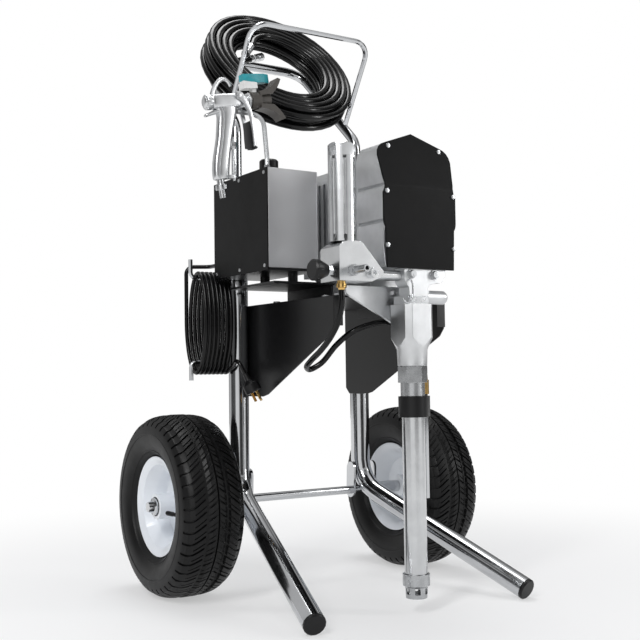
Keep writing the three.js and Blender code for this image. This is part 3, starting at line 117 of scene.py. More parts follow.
def catmull(points, steps):
    """Centripetal Catmull-Rom curve through the points."""
    ends = [2 * points[0] - points[1], *points, 2 * points[-1] - points[-2]]
    path = []
    for p0, p1, p2, p3 in zip(ends, ends[1:], ends[2:], ends[3:]):
        d1 = max((p1 - p0).length, 1e-9) ** 0.5
        d2 = max((p2 - p1).length, 1e-9) ** 0.5
        d3 = max((p3 - p2).length, 1e-9) ** 0.5
        m1 = (p1 - p0) / d1 - (p2 - p0) / (d1 + d2) + (p2 - p1) / d2
        m2 = (p2 - p1) / d2 - (p3 - p1) / (d2 + d3) + (p3 - p2) / d3
        m1, m2 = m1 * d2, m2 * d2
        for k in range(steps):
            t = k / steps
            path.append(
                p1 * (2 * t**3 - 3 * t**2 + 1) + m1 * (t**3 - 2 * t**2 + t)
                + p2 * (3 * t**2 - 2 * t**3) + m2 * (t**3 - t**2)
            )
    return path + [points[-1]]


def tube_rings(path, radii, sides):
    """Rings of points square to the path, turned along it without twist."""
    ahead = (path[1] - path[0]).normalized()
    side = ahead.orthogonal().normalized()
    rings = []
    for k, (place, radius) in enumerate(zip(path, radii)):
        before, after = path[max(k - 1, 0)], path[min(k + 1, len(path) - 1)]
        ahead = (after - before).normalized()
        side = (side - ahead * side.dot(ahead)).normalized()
        other = ahead.cross(side)
        rings.append([
            place
            + radius * (math.cos(TAU * i / sides) * side + math.sin(TAU * i / sides) * other)
            for i in range(sides)
        ])
    return rings


def lofted(shell, rings):
    """Adds a closed skin through the rings to a bmesh, with a face over each end."""
    rows = [[shell.verts.new(p) for p in ring] for ring in rings]
    count = len(rows[0])
    for a, b in zip(rows, rows[1:]):
        for k in range(count):
            m = (k + 1) % count
            shell.faces.new((a[k], a[m], b[m], b[k]))
    shell.faces.new(rows[0][::-1])
    shell.faces.new(rows[-1])


def tube(name, path, radius, sides=14):
    """A round hose or cord along the path, as a mesh."""
    shell = bmesh.new()
    lofted(shell, tube_rings(path, [radius] * len(path), sides))
    bmesh.ops.recalc_face_normals(shell, faces=shell.faces)
    mesh = bpy.data.meshes.new(name)
    shell.to_mesh(mesh)
    shell.free()
    mesh.shade_smooth()
    mesh.set_sharp_from_angle(angle=TUBE_SHARP)
    piece = bpy.data.objects.new(name, mesh)
    scene.collection.objects.link(piece)
    return piece


# ---------------------------------------------------------------- wound paint hose

HOSE_RADIUS = 6.4
HOSE_LAYERS = 4
TURNS_PER_LAYER = 4.5
HOSE_INNER = 98
HOSE_PITCH = 13.6
COIL_TURNS = HOSE_LAYERS * TURNS_PER_LAYER
COIL_TILT = math.radians(52)
COIL_START = math.pi * 0.72  # angle at which the first turn starts
COIL_MIDDLE = Vector((0, 78.6, 1029.4))
COIL_STEPS = 40  # points a turn
SOLID_COIL_STEPS = 16  # points a turn of the solid
CLIMB = 0.25  # share of a turn in which the hose climbs, before and after a layer ends
END_SWING = 0.2  # turns in which each end leaves the winding
END_INSET = 26


def coil_place(turn):
    """How far out of the innermost turn, and on which layer, the hose lies after so many turns."""
    phase = turn / TURNS_PER_LAYER
    layer = min(int(phase), HOSE_LAYERS - 1)
    within = phase - layer
    out = within if layer % 2 == 0 else 1 - within
    level = layer
    climb = CLIMB / TURNS_PER_LAYER
    if within < climb and layer > 0:
        level = layer - 0.5 + 0.5 * within / climb
    if within > 1 - climb and layer < HOSE_LAYERS - 1:
        level = layer + 0.5 - 0.5 * (1 - within) / climb
    return out * TURNS_PER_LAYER * HOSE_PITCH, level


def coil_point(turn):
    """The hose's middle line in the coil's own frame."""
    out, level = coil_place(turn)
    swing = max(0, 1 - min(turn, COIL_TURNS - turn) / END_SWING)
    radius = HOSE_INNER + out - END_INSET * swing * swing
    angle = turn * TAU + COIL_START
    height = (level - (HOSE_LAYERS - 1) / 2) * HOSE_PITCH
    return Vector((radius * math.cos(angle), radius * math.sin(angle), height))


def wound_hose():
    """The paint hose: one tube, tilted onto the rack, with straight ends for its fittings."""
    count = int(COIL_TURNS * COIL_STEPS)
    path = [coil_point(COIL_TURNS * k / count) for k in range(count + 1)]
    straight = 2 * HOSE_RADIUS
    # The straight ends follow the same chords as the solid's.
    first = (coil_point(0) - coil_point(1 / SOLID_COIL_STEPS)).normalized()
    last = (
        coil_point(COIL_TURNS) - coil_point(COIL_TURNS - 1 / SOLID_COIL_STEPS)
    ).normalized()
    path = [path[0] + first * straight, *path, path[-1] + last * straight]
    turned = Matrix.Rotation(COIL_TILT, 3, "X")
    path = [at(*(turned @ p + COIL_MIDDLE)) for p in path]
    hose = tube("hose_winding", path, HOSE_RADIUS * MM)
    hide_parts("hose_coil")
    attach(hose, "handle")
    return hose


# ---------------------------------------------------------------- power cord

CORD_RADIUS = 3.9
HANK_TURNS = 7.3
HANK_TOP_Z = 592.7
HANK_BOTTOM_Z = 406
HANK_LEFT_X = -229
HANK_PITCH = 8.6
HANK_HALF_DEPTH = 38
HANK_STEPS = 48  # points a turn
SOLID_HANK_STEPS = 20  # points a turn of the solid
HOOK_Y = -2
GLAND = Vector((-188, -28, 608))
GLAND_REACH = 16.3
LEAD_REACH = 44  # how far behind the control box the lead turns aside
LEAD_BENDS = [14, 14]
TAIL_STRAIGHT = 14
TAIL_REACH = 46  # from the winding's end to where the tail turns down
TAIL_SHIFT = Vector((-10, 0, 2))
TAIL_DROP = 32  # from there to the plug
TAIL_BENDS = [30, 13]
PLUG_WAY = Vector((0.36, -0.26, -0.9)).normalized()


def hank_point(turn):
    """The cord's middle line where it is wound over the two hooks."""
    half = (HANK_TOP_Z - HANK_BOTTOM_Z) / 2
    angle = turn * TAU
    return Vector((
        HANK_LEFT_X + HANK_PITCH * turn,
        HOOK_Y + HANK_HALF_DEPTH * math.cos(angle),
        HANK_BOTTOM_Z + half - half * math.sin(angle),
    ))


def power_cord():
    """Lead, winding and tail in one tube; gives it with its path and the plug's place."""
    count = int(HANK_TURNS * HANK_STEPS)
    winding = [hank_point(HANK_TURNS * k / count) for k in range(count + 1)]
    before_end = hank_point(HANK_TURNS - 1 / SOLID_HANK_STEPS)
    forward = (winding[-1] - before_end).normalized()
    start = winding[0] + Vector((0, 0, 2 * CORD_RADIUS))
    end = winding[-1] + forward * 2 * CORD_RADIUS
    gland_end = GLAND + Vector((0, GLAND_REACH, 0))
    behind_box = GLAND + Vector((0, LEAD_REACH, 0))
    above_start = Vector((start.x, start.y, GLAND.z))
    lead = rounded([gland_end, behind_box, above_start, start], LEAD_BENDS)
    crest = end + forward * TAIL_REACH + TAIL_SHIFT
    plug_back = crest + PLUG_WAY * TAIL_DROP
    tail = rounded([end, end + forward * TAIL_STRAIGHT, crest, plug_back], TAIL_BENDS)
    path = [at(*p) for p in [*lead, *winding, *tail]]
    cord = tube("power_cord", path, CORD_RADIUS * MM, 12)
    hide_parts("power_cord_lead", "power_cord_hank", "power_cord_tail")
    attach(cord, "cart")
    return cord, path, plug_back


# ---------------------------------------------------------------- drain hose

DRAIN_RADIUS = 5
DRAIN_STEPS = 6  # points from one of the route's to the next
# From the elbow under the manifold to the union on the drain tube.
DRAIN_ROUTE = [
    (-146, -372, 535.7), (-146, -372, 518), (-147, -364, 488), (-148, -342, 462),
    (-149, -312, 440), (-148, -280, 424), (-140, -252, 413), (-124, -238, 409), (-106, -246, 420),
    (-92, -272, 450), (-76, -298, 472), (-48, -312, 484), (-18, -316, 488), (8, -315, 479),
    (26, -319, 462), (35, -330, 444), (35, -346, 428), (33, -355, 414), (32, -357, 399.3),
]


def drain_line():
    """The drain hose, along the same points as its solid."""
    path = [at(*p) for p in catmull([Vector(p) for p in DRAIN_ROUTE], DRAIN_STEPS)]
    hose = tube("drain_line", path, DRAIN_RADIUS * MM)
    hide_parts("drain_hose")
    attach(hose, "cart")
    return hose


paint_hose = wound_hose()
mains_cord, mains_path, PLUG_BACK = power_cord()
return_hose = drain_line()


# ---------------------------------------------------------------- materials

# The colour sockets of Blender's Mix node.
MIX_FACTOR, MIX_A, MIX_B, MIX_RESULT = 0, 6, 7, 2
CLOUD_LOW, CLOUD_HIGH = 0.3, 0.7  # where a noise turns from its low colour to its high one
GLOSS_SCALE = 2.3  # of the gloss's patches against the tint's
LEAST_ROUGHNESS = 0.02
COAT_ROUGHNESS = 0.12


def fill_ramp(ramp, stops):
    """Sets a colour ramp's stops, given as (position, colour)."""
    elements = ramp.color_ramp.elements
    while len(elements) < len(stops):
        elements.new(0.5)
    for element, (position, colour) in zip(elements, stops):
        element.position = position
        element.color = (*colour, 1)


class Shader:
    """A node material under construction. Every texture uses the row frame's metres."""

    def __init__(self, name):
        self.material = bpy.data.materials.new(name)
        self.material.use_nodes = True
        self.tree = self.material.node_tree
        self.tree.nodes.clear()
        self.output = self.add("ShaderNodeOutputMaterial")
        self.base = self.add("ShaderNodeBsdfPrincipled")
        self.link(self.base, "BSDF", self.output, "Surface")
        self.place = self.add("ShaderNodeTexCoord")

    def add(self, kind, **settings):
        node = self.tree.nodes.new(kind)
        for key, value in settings.items():
            setattr(node, key, value)
        return node

    def link(self, source, out, target, socket):
        self.tree.links.new(source.outputs[out], target.inputs[socket])

    def noise(self, scale, detail=3.0, roughness=0.5, stretch=(1, 1, 1)):
        mapping = self.add("ShaderNodeMapping")
        mapping.inputs["Scale"].default_value = stretch
        self.link(self.place, "Object", mapping, "Vector")
        texture = self.add("ShaderNodeTexNoise")
        texture.inputs["Scale"].default_value = scale
        texture.inputs["Detail"].default_value = detail
        texture.inputs["Roughness"].default_value = roughness
        self.link(mapping, "Vector", texture, "Vector")
        return texture

    def ramp(self, source, low, high):
        """A noise turned into a colour between two."""
        ramp = self.add("ShaderNodeValToRGB")
        fill_ramp(ramp, [(CLOUD_LOW, low), (CLOUD_HIGH, high)])
        self.link(source, "Fac", ramp, "Fac")
        return ramp

    def spread(self, source, out, low, high):
        node = self.add("ShaderNodeMapRange")
        node.inputs["To Min"].default_value = low
        node.inputs["To Max"].default_value = high
        self.link(source, out, node, "Value")
        return node

    def bump(self, source, out, height, before=None):
        node = self.add("ShaderNodeBump")
        node.inputs["Strength"].default_value = 1.0
        node.inputs["Distance"].default_value = height
        self.link(source, out, node, "Height")
        if before:
            self.link(before, "Normal", node, "Normal")
        return node


def scaled(colour, factor):
    return tuple(min(c * factor, 1) for c in colour)


def surface(name, colour, roughness, metallic=0.0, tint=0.08, patch=22, grain=700, relief=4e-5,
            rough_spread=0.06, coat=0.0, lines=None, specular=0.5):
    """
    Base finish: cloudy tint, fine grain, uneven gloss, and optional tool lines, given as
    (scale, stretch, height). Heights are in metres.
    """
    shader = Shader(name)
    clouds = shader.noise(patch, 4)
    tone = shader.ramp(clouds, scaled(colour, 1 - tint), scaled(colour, 1 + tint))
    shader.link(tone, "Color", shader.base, "Base Color")
    shader.base.inputs["Metallic"].default_value = metallic
    shader.base.inputs["Specular IOR Level"].default_value = specular
    gloss = shader.noise(patch * GLOSS_SCALE, 5, 0.6)
    least = max(roughness - rough_spread, LEAST_ROUGHNESS)
    rough = shader.spread(gloss, "Fac", least, roughness + rough_spread)
    shader.link(rough, "Result", shader.base, "Roughness")
    fine = shader.noise(grain, 2)
    bump = shader.bump(fine, "Fac", relief)
    if lines:
        scale, stretch, height = lines
        drawn = shader.noise(scale, 2, 0.5, stretch)
        bump = shader.bump(drawn, "Fac", height, bump)
    shader.link(bump, "Normal", shader.base, "Normal")
    if coat:
        shader.base.inputs["Coat Weight"].default_value = coat
        shader.base.inputs["Coat Roughness"].default_value = COAT_ROUGHNESS
    return shader.material


chrome = surface(
    "chrome_plate", (0.56, 0.57, 0.585), 0.11, 1.0, tint=0.05, grain=260, relief=6e-6,
    rough_spread=0.03,
)
steel = surface("zinc_steel", (0.46, 0.47, 0.48), 0.28, 1.0, tint=0.12, patch=60, relief=2e-5)
drawn_steel = surface(
    "drawn_steel", (0.58, 0.59, 0.60), 0.20, 1.0, tint=0.06, patch=40, grain=400, relief=8e-6,
    lines=(900, (1, 1, 0.02), 1.2e-5),
)
cast = surface(
    "cast_aluminium", (0.62, 0.63, 0.64), 0.36, 1.0, tint=0.08, patch=35, grain=1100, relief=5e-5,
    rough_spread=0.08,
)
bright = surface(
    "machined_aluminium", (0.66, 0.67, 0.68), 0.22, 1.0, tint=0.05, patch=40, grain=900,
    relief=1.2e-5, lines=(1400, (0.04, 0.04, 1), 1e-5),
)
gun_metal = surface(
    "polished_casting", (0.64, 0.65, 0.66), 0.33, 1.0, tint=0.07, patch=55, grain=500,
    relief=4e-6, rough_spread=0.05,
)
brass = surface("brass", (0.72, 0.47, 0.17), 0.24, 1.0, tint=0.1, patch=80, grain=700, relief=1e-5)
black_coat = surface(
    "black_powder_coat", (0.0045, 0.0045, 0.005), 0.30, 0.0, tint=0.25, patch=18, grain=1300,
    relief=2e-5, specular=0.36,
)
cover_coat = surface(
    "cover_powder_coat", (0.0026, 0.0026, 0.0028), 0.45, 0.0, tint=0.25, patch=18, grain=1500,
    relief=5e-5, specular=0.13,
)
grey_coat = surface(
    "brushed_case", (0.52, 0.52, 0.53), 0.36, 0.75, tint=0.05, patch=9, grain=1500, relief=2e-5,
    lines=(700, (0.05, 0.05, 1), 1.2e-5),
)
white_coat = surface(
    "white_rim_enamel", (0.84, 0.87, 0.91), 0.30, 0.0, tint=0.03, patch=25, grain=500,
    relief=2e-5, coat=0.35,
)
black_plastic = surface(
    "black_moulding", (0.005, 0.005, 0.0055), 0.36, 0.0, tint=0.2, patch=60, grain=1800,
    relief=4e-5, specular=0.3,
)
guard_plastic = surface(
    "taupe_moulding", (0.060, 0.054, 0.048), 0.36, 0.0, tint=0.15, patch=70, grain=1600,
    relief=4e-5, specular=0.4,
)
tyre_rubber = surface(
    "tyre_rubber", (0.0036, 0.0036, 0.0038), 0.44, 0.0, tint=0.3, patch=26, grain=1500,
    relief=4e-5, rough_spread=0.1, specular=0.26,
)
hose_rubber = surface(
    "hose_cover", (0.0028, 0.0028, 0.0030), 0.16, 0.0, tint=0.25, patch=30, grain=1200,
    relief=1e-5, specular=0.28, rough_spread=0.04,
)
cord_rubber = surface(
    "cord_jacket", (0.0032, 0.0032, 0.0035), 0.20, 0.0, tint=0.25, patch=40, grain=1600,
    relief=1e-5, specular=0.28, rough_spread=0.04,
)


TIP_HANDLE_HEIGHT = 0.0195
TIP_TEAL = ((0.005, 0.235, 0.275), (0.010, 0.30, 0.345))
TIP_WHITE = ((0.70, 0.70, 0.69), (0.78, 0.78, 0.77))
TIP_MOTTLE = 90
TIP_GRAIN = 1500
TIP_RELIEF = 3e-5
TIP_ROUGHNESS = 0.38


def tip_plastic():
    """Teal handle over a white base, moulded in one piece: the colour changes at a height."""
    shader = Shader("tip_two_colour_moulding")
    _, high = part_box("spray_tip")
    place = shader.add("ShaderNodeSeparateXYZ")
    shader.link(shader.place, "Object", place, "Vector")
    above = shader.add("ShaderNodeMath", operation="GREATER_THAN")
    above.inputs[1].default_value = high.z - TIP_HANDLE_HEIGHT
    shader.link(place, "Z", above, 0)
    mottle = shader.noise(TIP_MOTTLE, 3)
    teal = shader.ramp(mottle, *TIP_TEAL)
    white = shader.ramp(mottle, *TIP_WHITE)
    mix = shader.add("ShaderNodeMix", data_type="RGBA")
    shader.link(above, 0, mix, MIX_FACTOR)
    shader.link(white, "Color", mix, MIX_A)
    shader.link(teal, "Color", mix, MIX_B)
    shader.link(mix, MIX_RESULT, shader.base, "Base Color")
    shader.base.inputs["Roughness"].default_value = TIP_ROUGHNESS
    bump = shader.bump(shader.noise(TIP_GRAIN, 2), "Fac", TIP_RELIEF)
    shader.link(bump, "Normal", shader.base, "Normal")
    return shader.material


# ---------------------------------------------------------------- mesh helpers

NODE_SLOT = {part["node"]: part["material_slot"] for part in frame["record"]["subparts"]}
NODE_SLOT["motor_housing"] = "cast_aluminium"  # bare metal in the photograph


SHARP_ANGLE = 32  # degrees between faces past which an edge of a carried-over solid stays sharp
FLAT_ANGLE = math.radians(1)  # below it, a solid's triangles lie in one face
CORNER_ANGLE = math.radians(40)  # past it, an edge of a new piece is bevelled
VIEW_WELD = 1e-5
SOLID_WELD = 2e-6
EXACT_WELD = 1e-7
NO_LENGTH = 1e-6
BEVEL = {
    "offset_type": "OFFSET", "segments": 2, "profile": 0.5, "affect": "EDGES",
    "clamp_overlap": True, "loop_slide": True,
}


def finished(name, mesh, material, body, nodes, angle):
    """Makes a piece from a mesh, shades it smooth but for sharp edges, and lets it ride."""
    mesh.shade_smooth()
    mesh.set_sharp_from_angle(angle=math.radians(angle))
    piece = bpy.data.objects.new(name, mesh)
    scene.collection.objects.link(piece)
    piece.data.materials.append(material)
    if nodes:
        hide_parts(*nodes)
    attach(piece, body)
    return piece


def closed_piece(name, shell, material, body, nodes=(), angle=35, bevel=0.0):
    """Finishes a bmesh of closed skins as a piece; a bevel rounds its sharp edges."""
    bmesh.ops.recalc_face_normals(shell, faces=shell.faces)
    if bevel:
        sharp = [e for e in shell.edges if e.calc_face_angle(0) > CORNER_ANGLE]
        bmesh.ops.bevel(shell, geom=sharp, offset=bevel * MM, **BEVEL)
    mesh = bpy.data.meshes.new(name)
    shell.to_mesh(mesh)
    shell.free()
    finished(name, mesh, material, body, nodes, angle)


def grid_mesh(name, rings):
    """A mesh from closed rings of points, the last of which joins the first."""
    mesh = bpy.data.meshes.new(name)
    count = len(rings[0])
    points = [p for ring in rings for p in ring]
    faces = []
    rows = len(rings)
    for i in range(rows):
        a, b = i * count, ((i + 1) % rows) * count
        for k in range(count):
            m = (k + 1) % count
            faces.append((a + k, a + m, b + m, b + k))
    mesh.from_pydata(points, [], faces)
    return mesh


def outwards(mesh):
    """Welds a mesh and turns all its faces outwards."""
    work = bmesh.new()
    work.from_mesh(mesh)
    bmesh.ops.remove_doubles(work, verts=work.verts, dist=EXACT_WELD)
    bmesh.ops.recalc_face_normals(work, faces=work.faces)
    work.to_mesh(mesh)
    work.free()
    return mesh


NODE_FINISH = {
    chrome: ["left_leg_tube", "right_leg_tube", "axle", "cord_hook_upper", "cord_hook_lower",
             "handle_tube", "hose_rack", "drain_tube"],
    drawn_steel: ["suction_tube", "filter_tube"],
    steel: ["gun_rest_rod", "pump_foot_nut", "inlet_strainer", "outlet_nipple"],
    cast: ["gear_housing", "drive_saddle", "pump_neck", "pump_body", "front_bracket",
           "motor_housing"],
    bright: ["manifold_block", "diffuser_nut", "gun_swivel", "hose_end_fitting_rear",
             "hose_end_fitting_front"],
    brass: ["drain_elbow", "drain_union"],
    black_coat: ["left_side_panel", "right_side_panel", "deck_plate", "control_box_base"],
    cover_coat: ["housing_cover", "control_box_side_plate"],
    grey_coat: ["control_box_case"],
    black_plastic: ["left_foot_plug", "right_foot_plug", "left_handle_collar",
                    "right_handle_collar", "power_switch", "cord_gland", "pressure_knob",
                    "motor_fan_cover", "tube_clamp", "prime_valve_knob", "trigger_lock",
                    "power_plug"],
    guard_plastic: ["tip_guard"],
}
NODE_BODY = {
    name: body for body, names in frame["record"]["behaviour"]["bodies"].items() for name in names
}


def dress(name, material):
    """Welds a carried-over solid's split corners and shades it smooth between sharp edges."""
    node = frame["nodes"][name]
    node.data.materials.clear()
    node.data.materials.append(material)
    for polygon in node.data.polygons:
        polygon.use_smooth = True
    if "custom_normal" in node.data.attributes:
        node.data.attributes.remove(node.data.attributes["custom_normal"])
    weld = node.modifiers.new("weld", "WELD")
    weld.merge_threshold = VIEW_WELD
    split = node.modifiers.new("split", "EDGE_SPLIT")
    split.split_angle = math.radians(SHARP_ANGLE)


HEAD_COVER_Y = -388
HEAD_CREASE_Z = 712
HEAD_LEAN = math.radians(14)
PUMP_AXIS_Y = -365
# How far out, or from where on, a solid's faces belong to its screws, bolts or prongs.
HEAD_SCREWS_OUT = 0.25
BOX_SCREWS_X = -201.2
NECK_BOLTS_OUT = 17.3
DECK_SCREWS_Z = 533.4
DECK_SCREWS_REACH = 110
PLUG_PRONGS_FROM = 38.2


def cover_front(z):
    """The front of the gear housing's cover at a height: upright, then leaning back."""
    return HEAD_COVER_Y + max(0, z - HEAD_CREASE_Z) * math.tan(HEAD_LEAN)


def along_plug(x, y, z):
    """How far a point lies from the back of the power plug towards its prongs."""
    return (Vector((x, y, z)) - PLUG_BACK).dot(PLUG_WAY)


# Where a part of another metal stands out of a solid, in machine millimetres.
FASTENERS = {
    "housing_cover": (steel, lambda x, y, z: y < cover_front(z) - HEAD_SCREWS_OUT),
    "control_box_side_plate": (steel, lambda x, y, z: x < BOX_SCREWS_X),
    "pump_neck": (steel, lambda x, y, z: y < PUMP_AXIS_Y - NECK_BOLTS_OUT),
    "deck_plate": (steel, lambda x, y, z: z > DECK_SCREWS_Z and abs(x) < DECK_SCREWS_REACH),
    "power_plug": (brass, lambda x, y, z: along_plug(x, y, z) > PLUG_PRONGS_FROM),
}


def machine(point):
    """A point of the row frame in machine millimetres."""
    return point / MM - Vector((0, AXLE_Y / MM, 0))


def softened(name, material, width):
    """Stands for a rigid solid: the same mesh with its sharp edges rounded."""
    mesh = bpy.data.meshes.new(f"{name}_soft_edged")
    work = bmesh.new()
    work.from_mesh(frame["nodes"][name].data)
    bmesh.ops.remove_doubles(work, verts=work.verts, dist=SOLID_WELD)
    bmesh.ops.dissolve_limit(
        work, angle_limit=FLAT_ANGLE, verts=work.verts, edges=work.edges,
        use_dissolve_boundaries=False,
    )
    bmesh.ops.dissolve_degenerate(work, edges=work.edges, dist=NO_LENGTH)
    sharp = [
        edge for edge in work.edges
        if len(edge.link_faces) == 2 and edge.calc_face_angle(0) > math.radians(SHARP_ANGLE)
    ]
    bmesh.ops.bevel(work, geom=sharp, offset=width * MM, miter_outer="SHARP", **BEVEL)
    work.to_mesh(mesh)
    work.free()
    piece = finished(mesh.name, mesh, material, NODE_BODY[name], [name], SHARP_ANGLE)
    weigh = piece.modifiers.new("weigh", "WEIGHTED_NORMAL")
    weigh.keep_sharp = True
    if name in FASTENERS:
        metal, stands_out = FASTENERS[name]
        mesh.materials.append(metal)
        for polygon in mesh.polygons:
            if stands_out(*machine(polygon.center)):
                polygon.material_index = 1


# Width of the rounded edges of each solid that gets them.
SOFT_EDGED = {
    "left_side_panel": 0.8, "right_side_panel": 0.8, "deck_plate": 0.5, "front_bracket": 0.6,
    "control_box_case": 1.0, "control_box_side_plate": 0.4, "control_box_base": 0.6,
    "gear_housing": 0.9, "housing_cover": 0.5, "motor_housing": 0.8, "motor_fan_cover": 0.6,
    "drive_saddle": 0.8, "pump_neck": 0.8, "pump_body": 0.7, "pump_foot_nut": 0.4,
    "manifold_block": 0.9, "filter_tube": 0.4, "prime_valve_knob": 0.7, "pressure_knob": 0.5,
    "power_switch": 0.3, "tube_clamp": 0.5, "left_foot_plug": 0.5, "right_foot_plug": 0.5,
    "left_handle_collar": 0.5, "right_handle_collar": 0.5, "diffuser_nut": 0.4, "tip_guard": 0.4,
    "gun_swivel": 0.3, "power_plug": 0.6, "outlet_nipple": 0.3, "drain_elbow": 0.3,
    "drain_union": 0.3, "inlet_strainer": 0.3, "trigger_lock": 0.3,
}
for material, names in NODE_FINISH.items():
    for name in names:
        if name in SOFT_EDGED:
            softened(name, material, SOFT_EDGED[name])
        else:
            dress(name, material)
dress("spray_tip", tip_plastic())

# The hoses and the mains cord take their finishes here, once the cord's plug is made.
paint_hose.data.materials.append(hose_rubber)
mains_cord.data.materials.append(cord_rubber)
return_hose.data.materials.append(hose_rubber)


# ---------------------------------------------------------------- wheels

WHEEL_RADIUS = 165
WHEEL_X = 264.5
TREAD_PITCHES = 48
# Outer skin from the bead to the crown as (radius, distance from the middle plane).
TYRE_SKIN = [
    (80, 34), (86, 37.5), (91, 40), (93, 43.5), (97, 48), (99.4, 50.2), (100, 51.8), (101.6, 52.8),
    (102.2, 52.2), (107, 55.2), (114, 57.8), (124, 59.4), (129.4, 59.5), (130, 60.4),
    (132.4, 60.4), (133, 59.8), (142, 58.8), (145.6, 57.7), (146.4, 57.4), (149, 56.2), (154, 52.4),
    (156.6, 49.4), (157.3, 48.6), (159.6, 44.2), (160, 42.6), (161.2, 39.6), (162, 37),
    (163.4, 30), (164.2, 23), (164.3, 21.5), (164.6, 19), (164.7, 17.5), (165, 11), (165, 1.5),
    (165, 0.8),
]
# Inner skin from bead to bead, likewise.
TYRE_INSIDE = [
    (84, -22), (100, -44), (130, -50), (150, -40), (150, 40), (130, 50), (100, 44), (84, 22),
]
LAND, CHEVRON, CUT = 0, 1, 2
# One pitch of the tread as (share of the pitch, kind).
PITCH = [
    (0.0, LAND), (0.03, CHEVRON), (0.19, CHEVRON), (0.22, LAND), (0.46, LAND), (0.48, CUT),
    (0.56, CUT), (0.58, LAND), (0.8, LAND),
]
GROOVE_DEPTH = 4.2
TREAD_EDGE = 146  # radius past which the skin is tread
SHOULDER = 46  # distances from the middle plane: past it the chevrons are deeper and don't lean
CHEVRON_FROM = 3
CUT_SPAN = (8, 40)
RIB_GROOVE = (17, 22)
MIDDLE_GROOVE = 1
EDGE_GROOVE = (43, 50)
EDGE_GROOVE_DEPTH = 1.6
CHEVRON_LEAN = 0.0046  # radians for each millimetre outwards
# Depths as shares of GROOVE_DEPTH.
SHOULDER_SHARE = 1.3
CUT_SHARE = 0.55
MIDDLE_SHARE = 0.8


def groove_depth(radius, offset, kind):
    """How far the tread is cut in at a station of the skin."""
    if radius < TREAD_EDGE:
        return 0.0
    depth = 0.0
    if kind == CHEVRON and offset > CHEVRON_FROM:
        depth = GROOVE_DEPTH if offset < SHOULDER else SHOULDER_SHARE * GROOVE_DEPTH
    if kind == CUT and CUT_SPAN[0] < offset < CUT_SPAN[1]:
        depth = CUT_SHARE * GROOVE_DEPTH
    if RIB_GROOVE[0] < offset < RIB_GROOVE[1]:
        depth = GROOVE_DEPTH
    if offset < MIDDLE_GROOVE:
        depth = MIDDLE_SHARE * GROOVE_DEPTH
    if EDGE_GROOVE[0] < offset < EDGE_GROOVE[1]:
        depth = max(depth, EDGE_GROOVE_DEPTH)
    return depth


def tyre(side, name):
    """Treaded tyre: chevrons that meet on the middle line, ribs either side and shoulder blocks."""
    columns = [
        ((pitch + share) * TAU / TREAD_PITCHES, kind)
        for pitch in range(TREAD_PITCHES) for share, kind in PITCH
    ]
    skin = [(r, o, +1) for r, o in TYRE_SKIN] + [(r, o, -1) for r, o in reversed(TYRE_SKIN)]
    rows = []
    for radius, offset, half in skin:
        lean = min(offset, SHOULDER) * CHEVRON_LEAN
        rows.append([
            (half * offset, radius - groove_depth(radius, offset, kind), angle - lean)
            for angle, kind in columns
        ])
    for radius, offset in TYRE_INSIDE:
        rows.append([(offset, radius, angle) for angle, _ in columns])
    points = [
        [
            at(side * WHEEL_X + x, -r * math.cos(a), WHEEL_RADIUS + r * math.sin(a))
            for x, r, a in ring
        ]
        for ring in rows
    ]
    mesh = outwards(grid_mesh(f"{name}_tyre_treaded", points))
    finished(mesh.name, mesh, tyre_rubber, f"{name}_wheel", [f"{name}_tyre"], 28)


# Rim section as (radius, distance outwards from the middle plane), a closed ring.
RIM_SECTION = [
    (8.6, -30), (22.4, -30), (23, -29.4), (23, -9.6), (24, -9), (55, -9), (58, -10), (64, -20.5),
    (66, -22.4), (72, -33), (75.4, -37.6), (80, -40.5), (85, -43), (89, -44), (90.2, -43.6),
    (90.4, -42), (88, -41.2), (83, -39.4), (79.6, -36.4), (79, -34), (79, -23), (77, -21),
    (70.4, -18.6), (69, -17), (69, 17), (70.4, 18.6), (77, 21), (79, 23), (79, 34), (79.6, 36.4),
    (83, 39.4), (88, 41.2), (90.4, 42), (90.2, 43.6), (89, 44), (85, 43), (80, 40.5), (75.4, 37.6),
    (70, 27), (65.6, 18.4), (64.6, 16), (62.4, -3), (60.4, -5), (24, -5), (23, -4.4), (23, 45.4),
    (22.4, 46), (8.6, 46),
]
RIM_STEPS = 96
# Bearing seal in the hub's outer end, likewise.
SEAL_SECTION = [(10.4, 45.4), (17.4, 45.4), (17.4, 46.5), (16.6, 46.9), (11.4, 46.9), (10.4, 46.5)]
SEAL_STEPS = 32
# Valve stem's ends as (radius, distance outwards, angle) and its stations as (share, radius).
STEM_FOOT = (67, 18, math.radians(192))
STEM_TIP = (32, 38, math.radians(196))
STEM_STATIONS = [
    (0, 5.6), (0.12, 5.2), (0.3, 3.6), (0.62, 3.3), (0.63, 3.9), (0.66, 4.2), (0.94, 4.2), (1, 3.4),
]


def on_wheel(side, radius, offset, angle):
    """A point of a wheel, given by its distance outwards from the middle plane."""
    return at(
        side * (WHEEL_X + offset), radius * math.cos(angle), WHEEL_RADIUS + radius * math.sin(angle)
    )


def rim(side, name):
    """Pressed rim with its bead seats, dish and hub."""
    rings = [
        [on_wheel(side, radius, offset, TAU * k / RIM_STEPS) for k in range(RIM_STEPS)]
        for radius, offset in RIM_SECTION
    ]
    mesh = outwards(grid_mesh(f"{name}_rim_enamelled", rings))
    finished(mesh.name, mesh, white_coat, f"{name}_wheel", [f"{name}_rim"], 30)


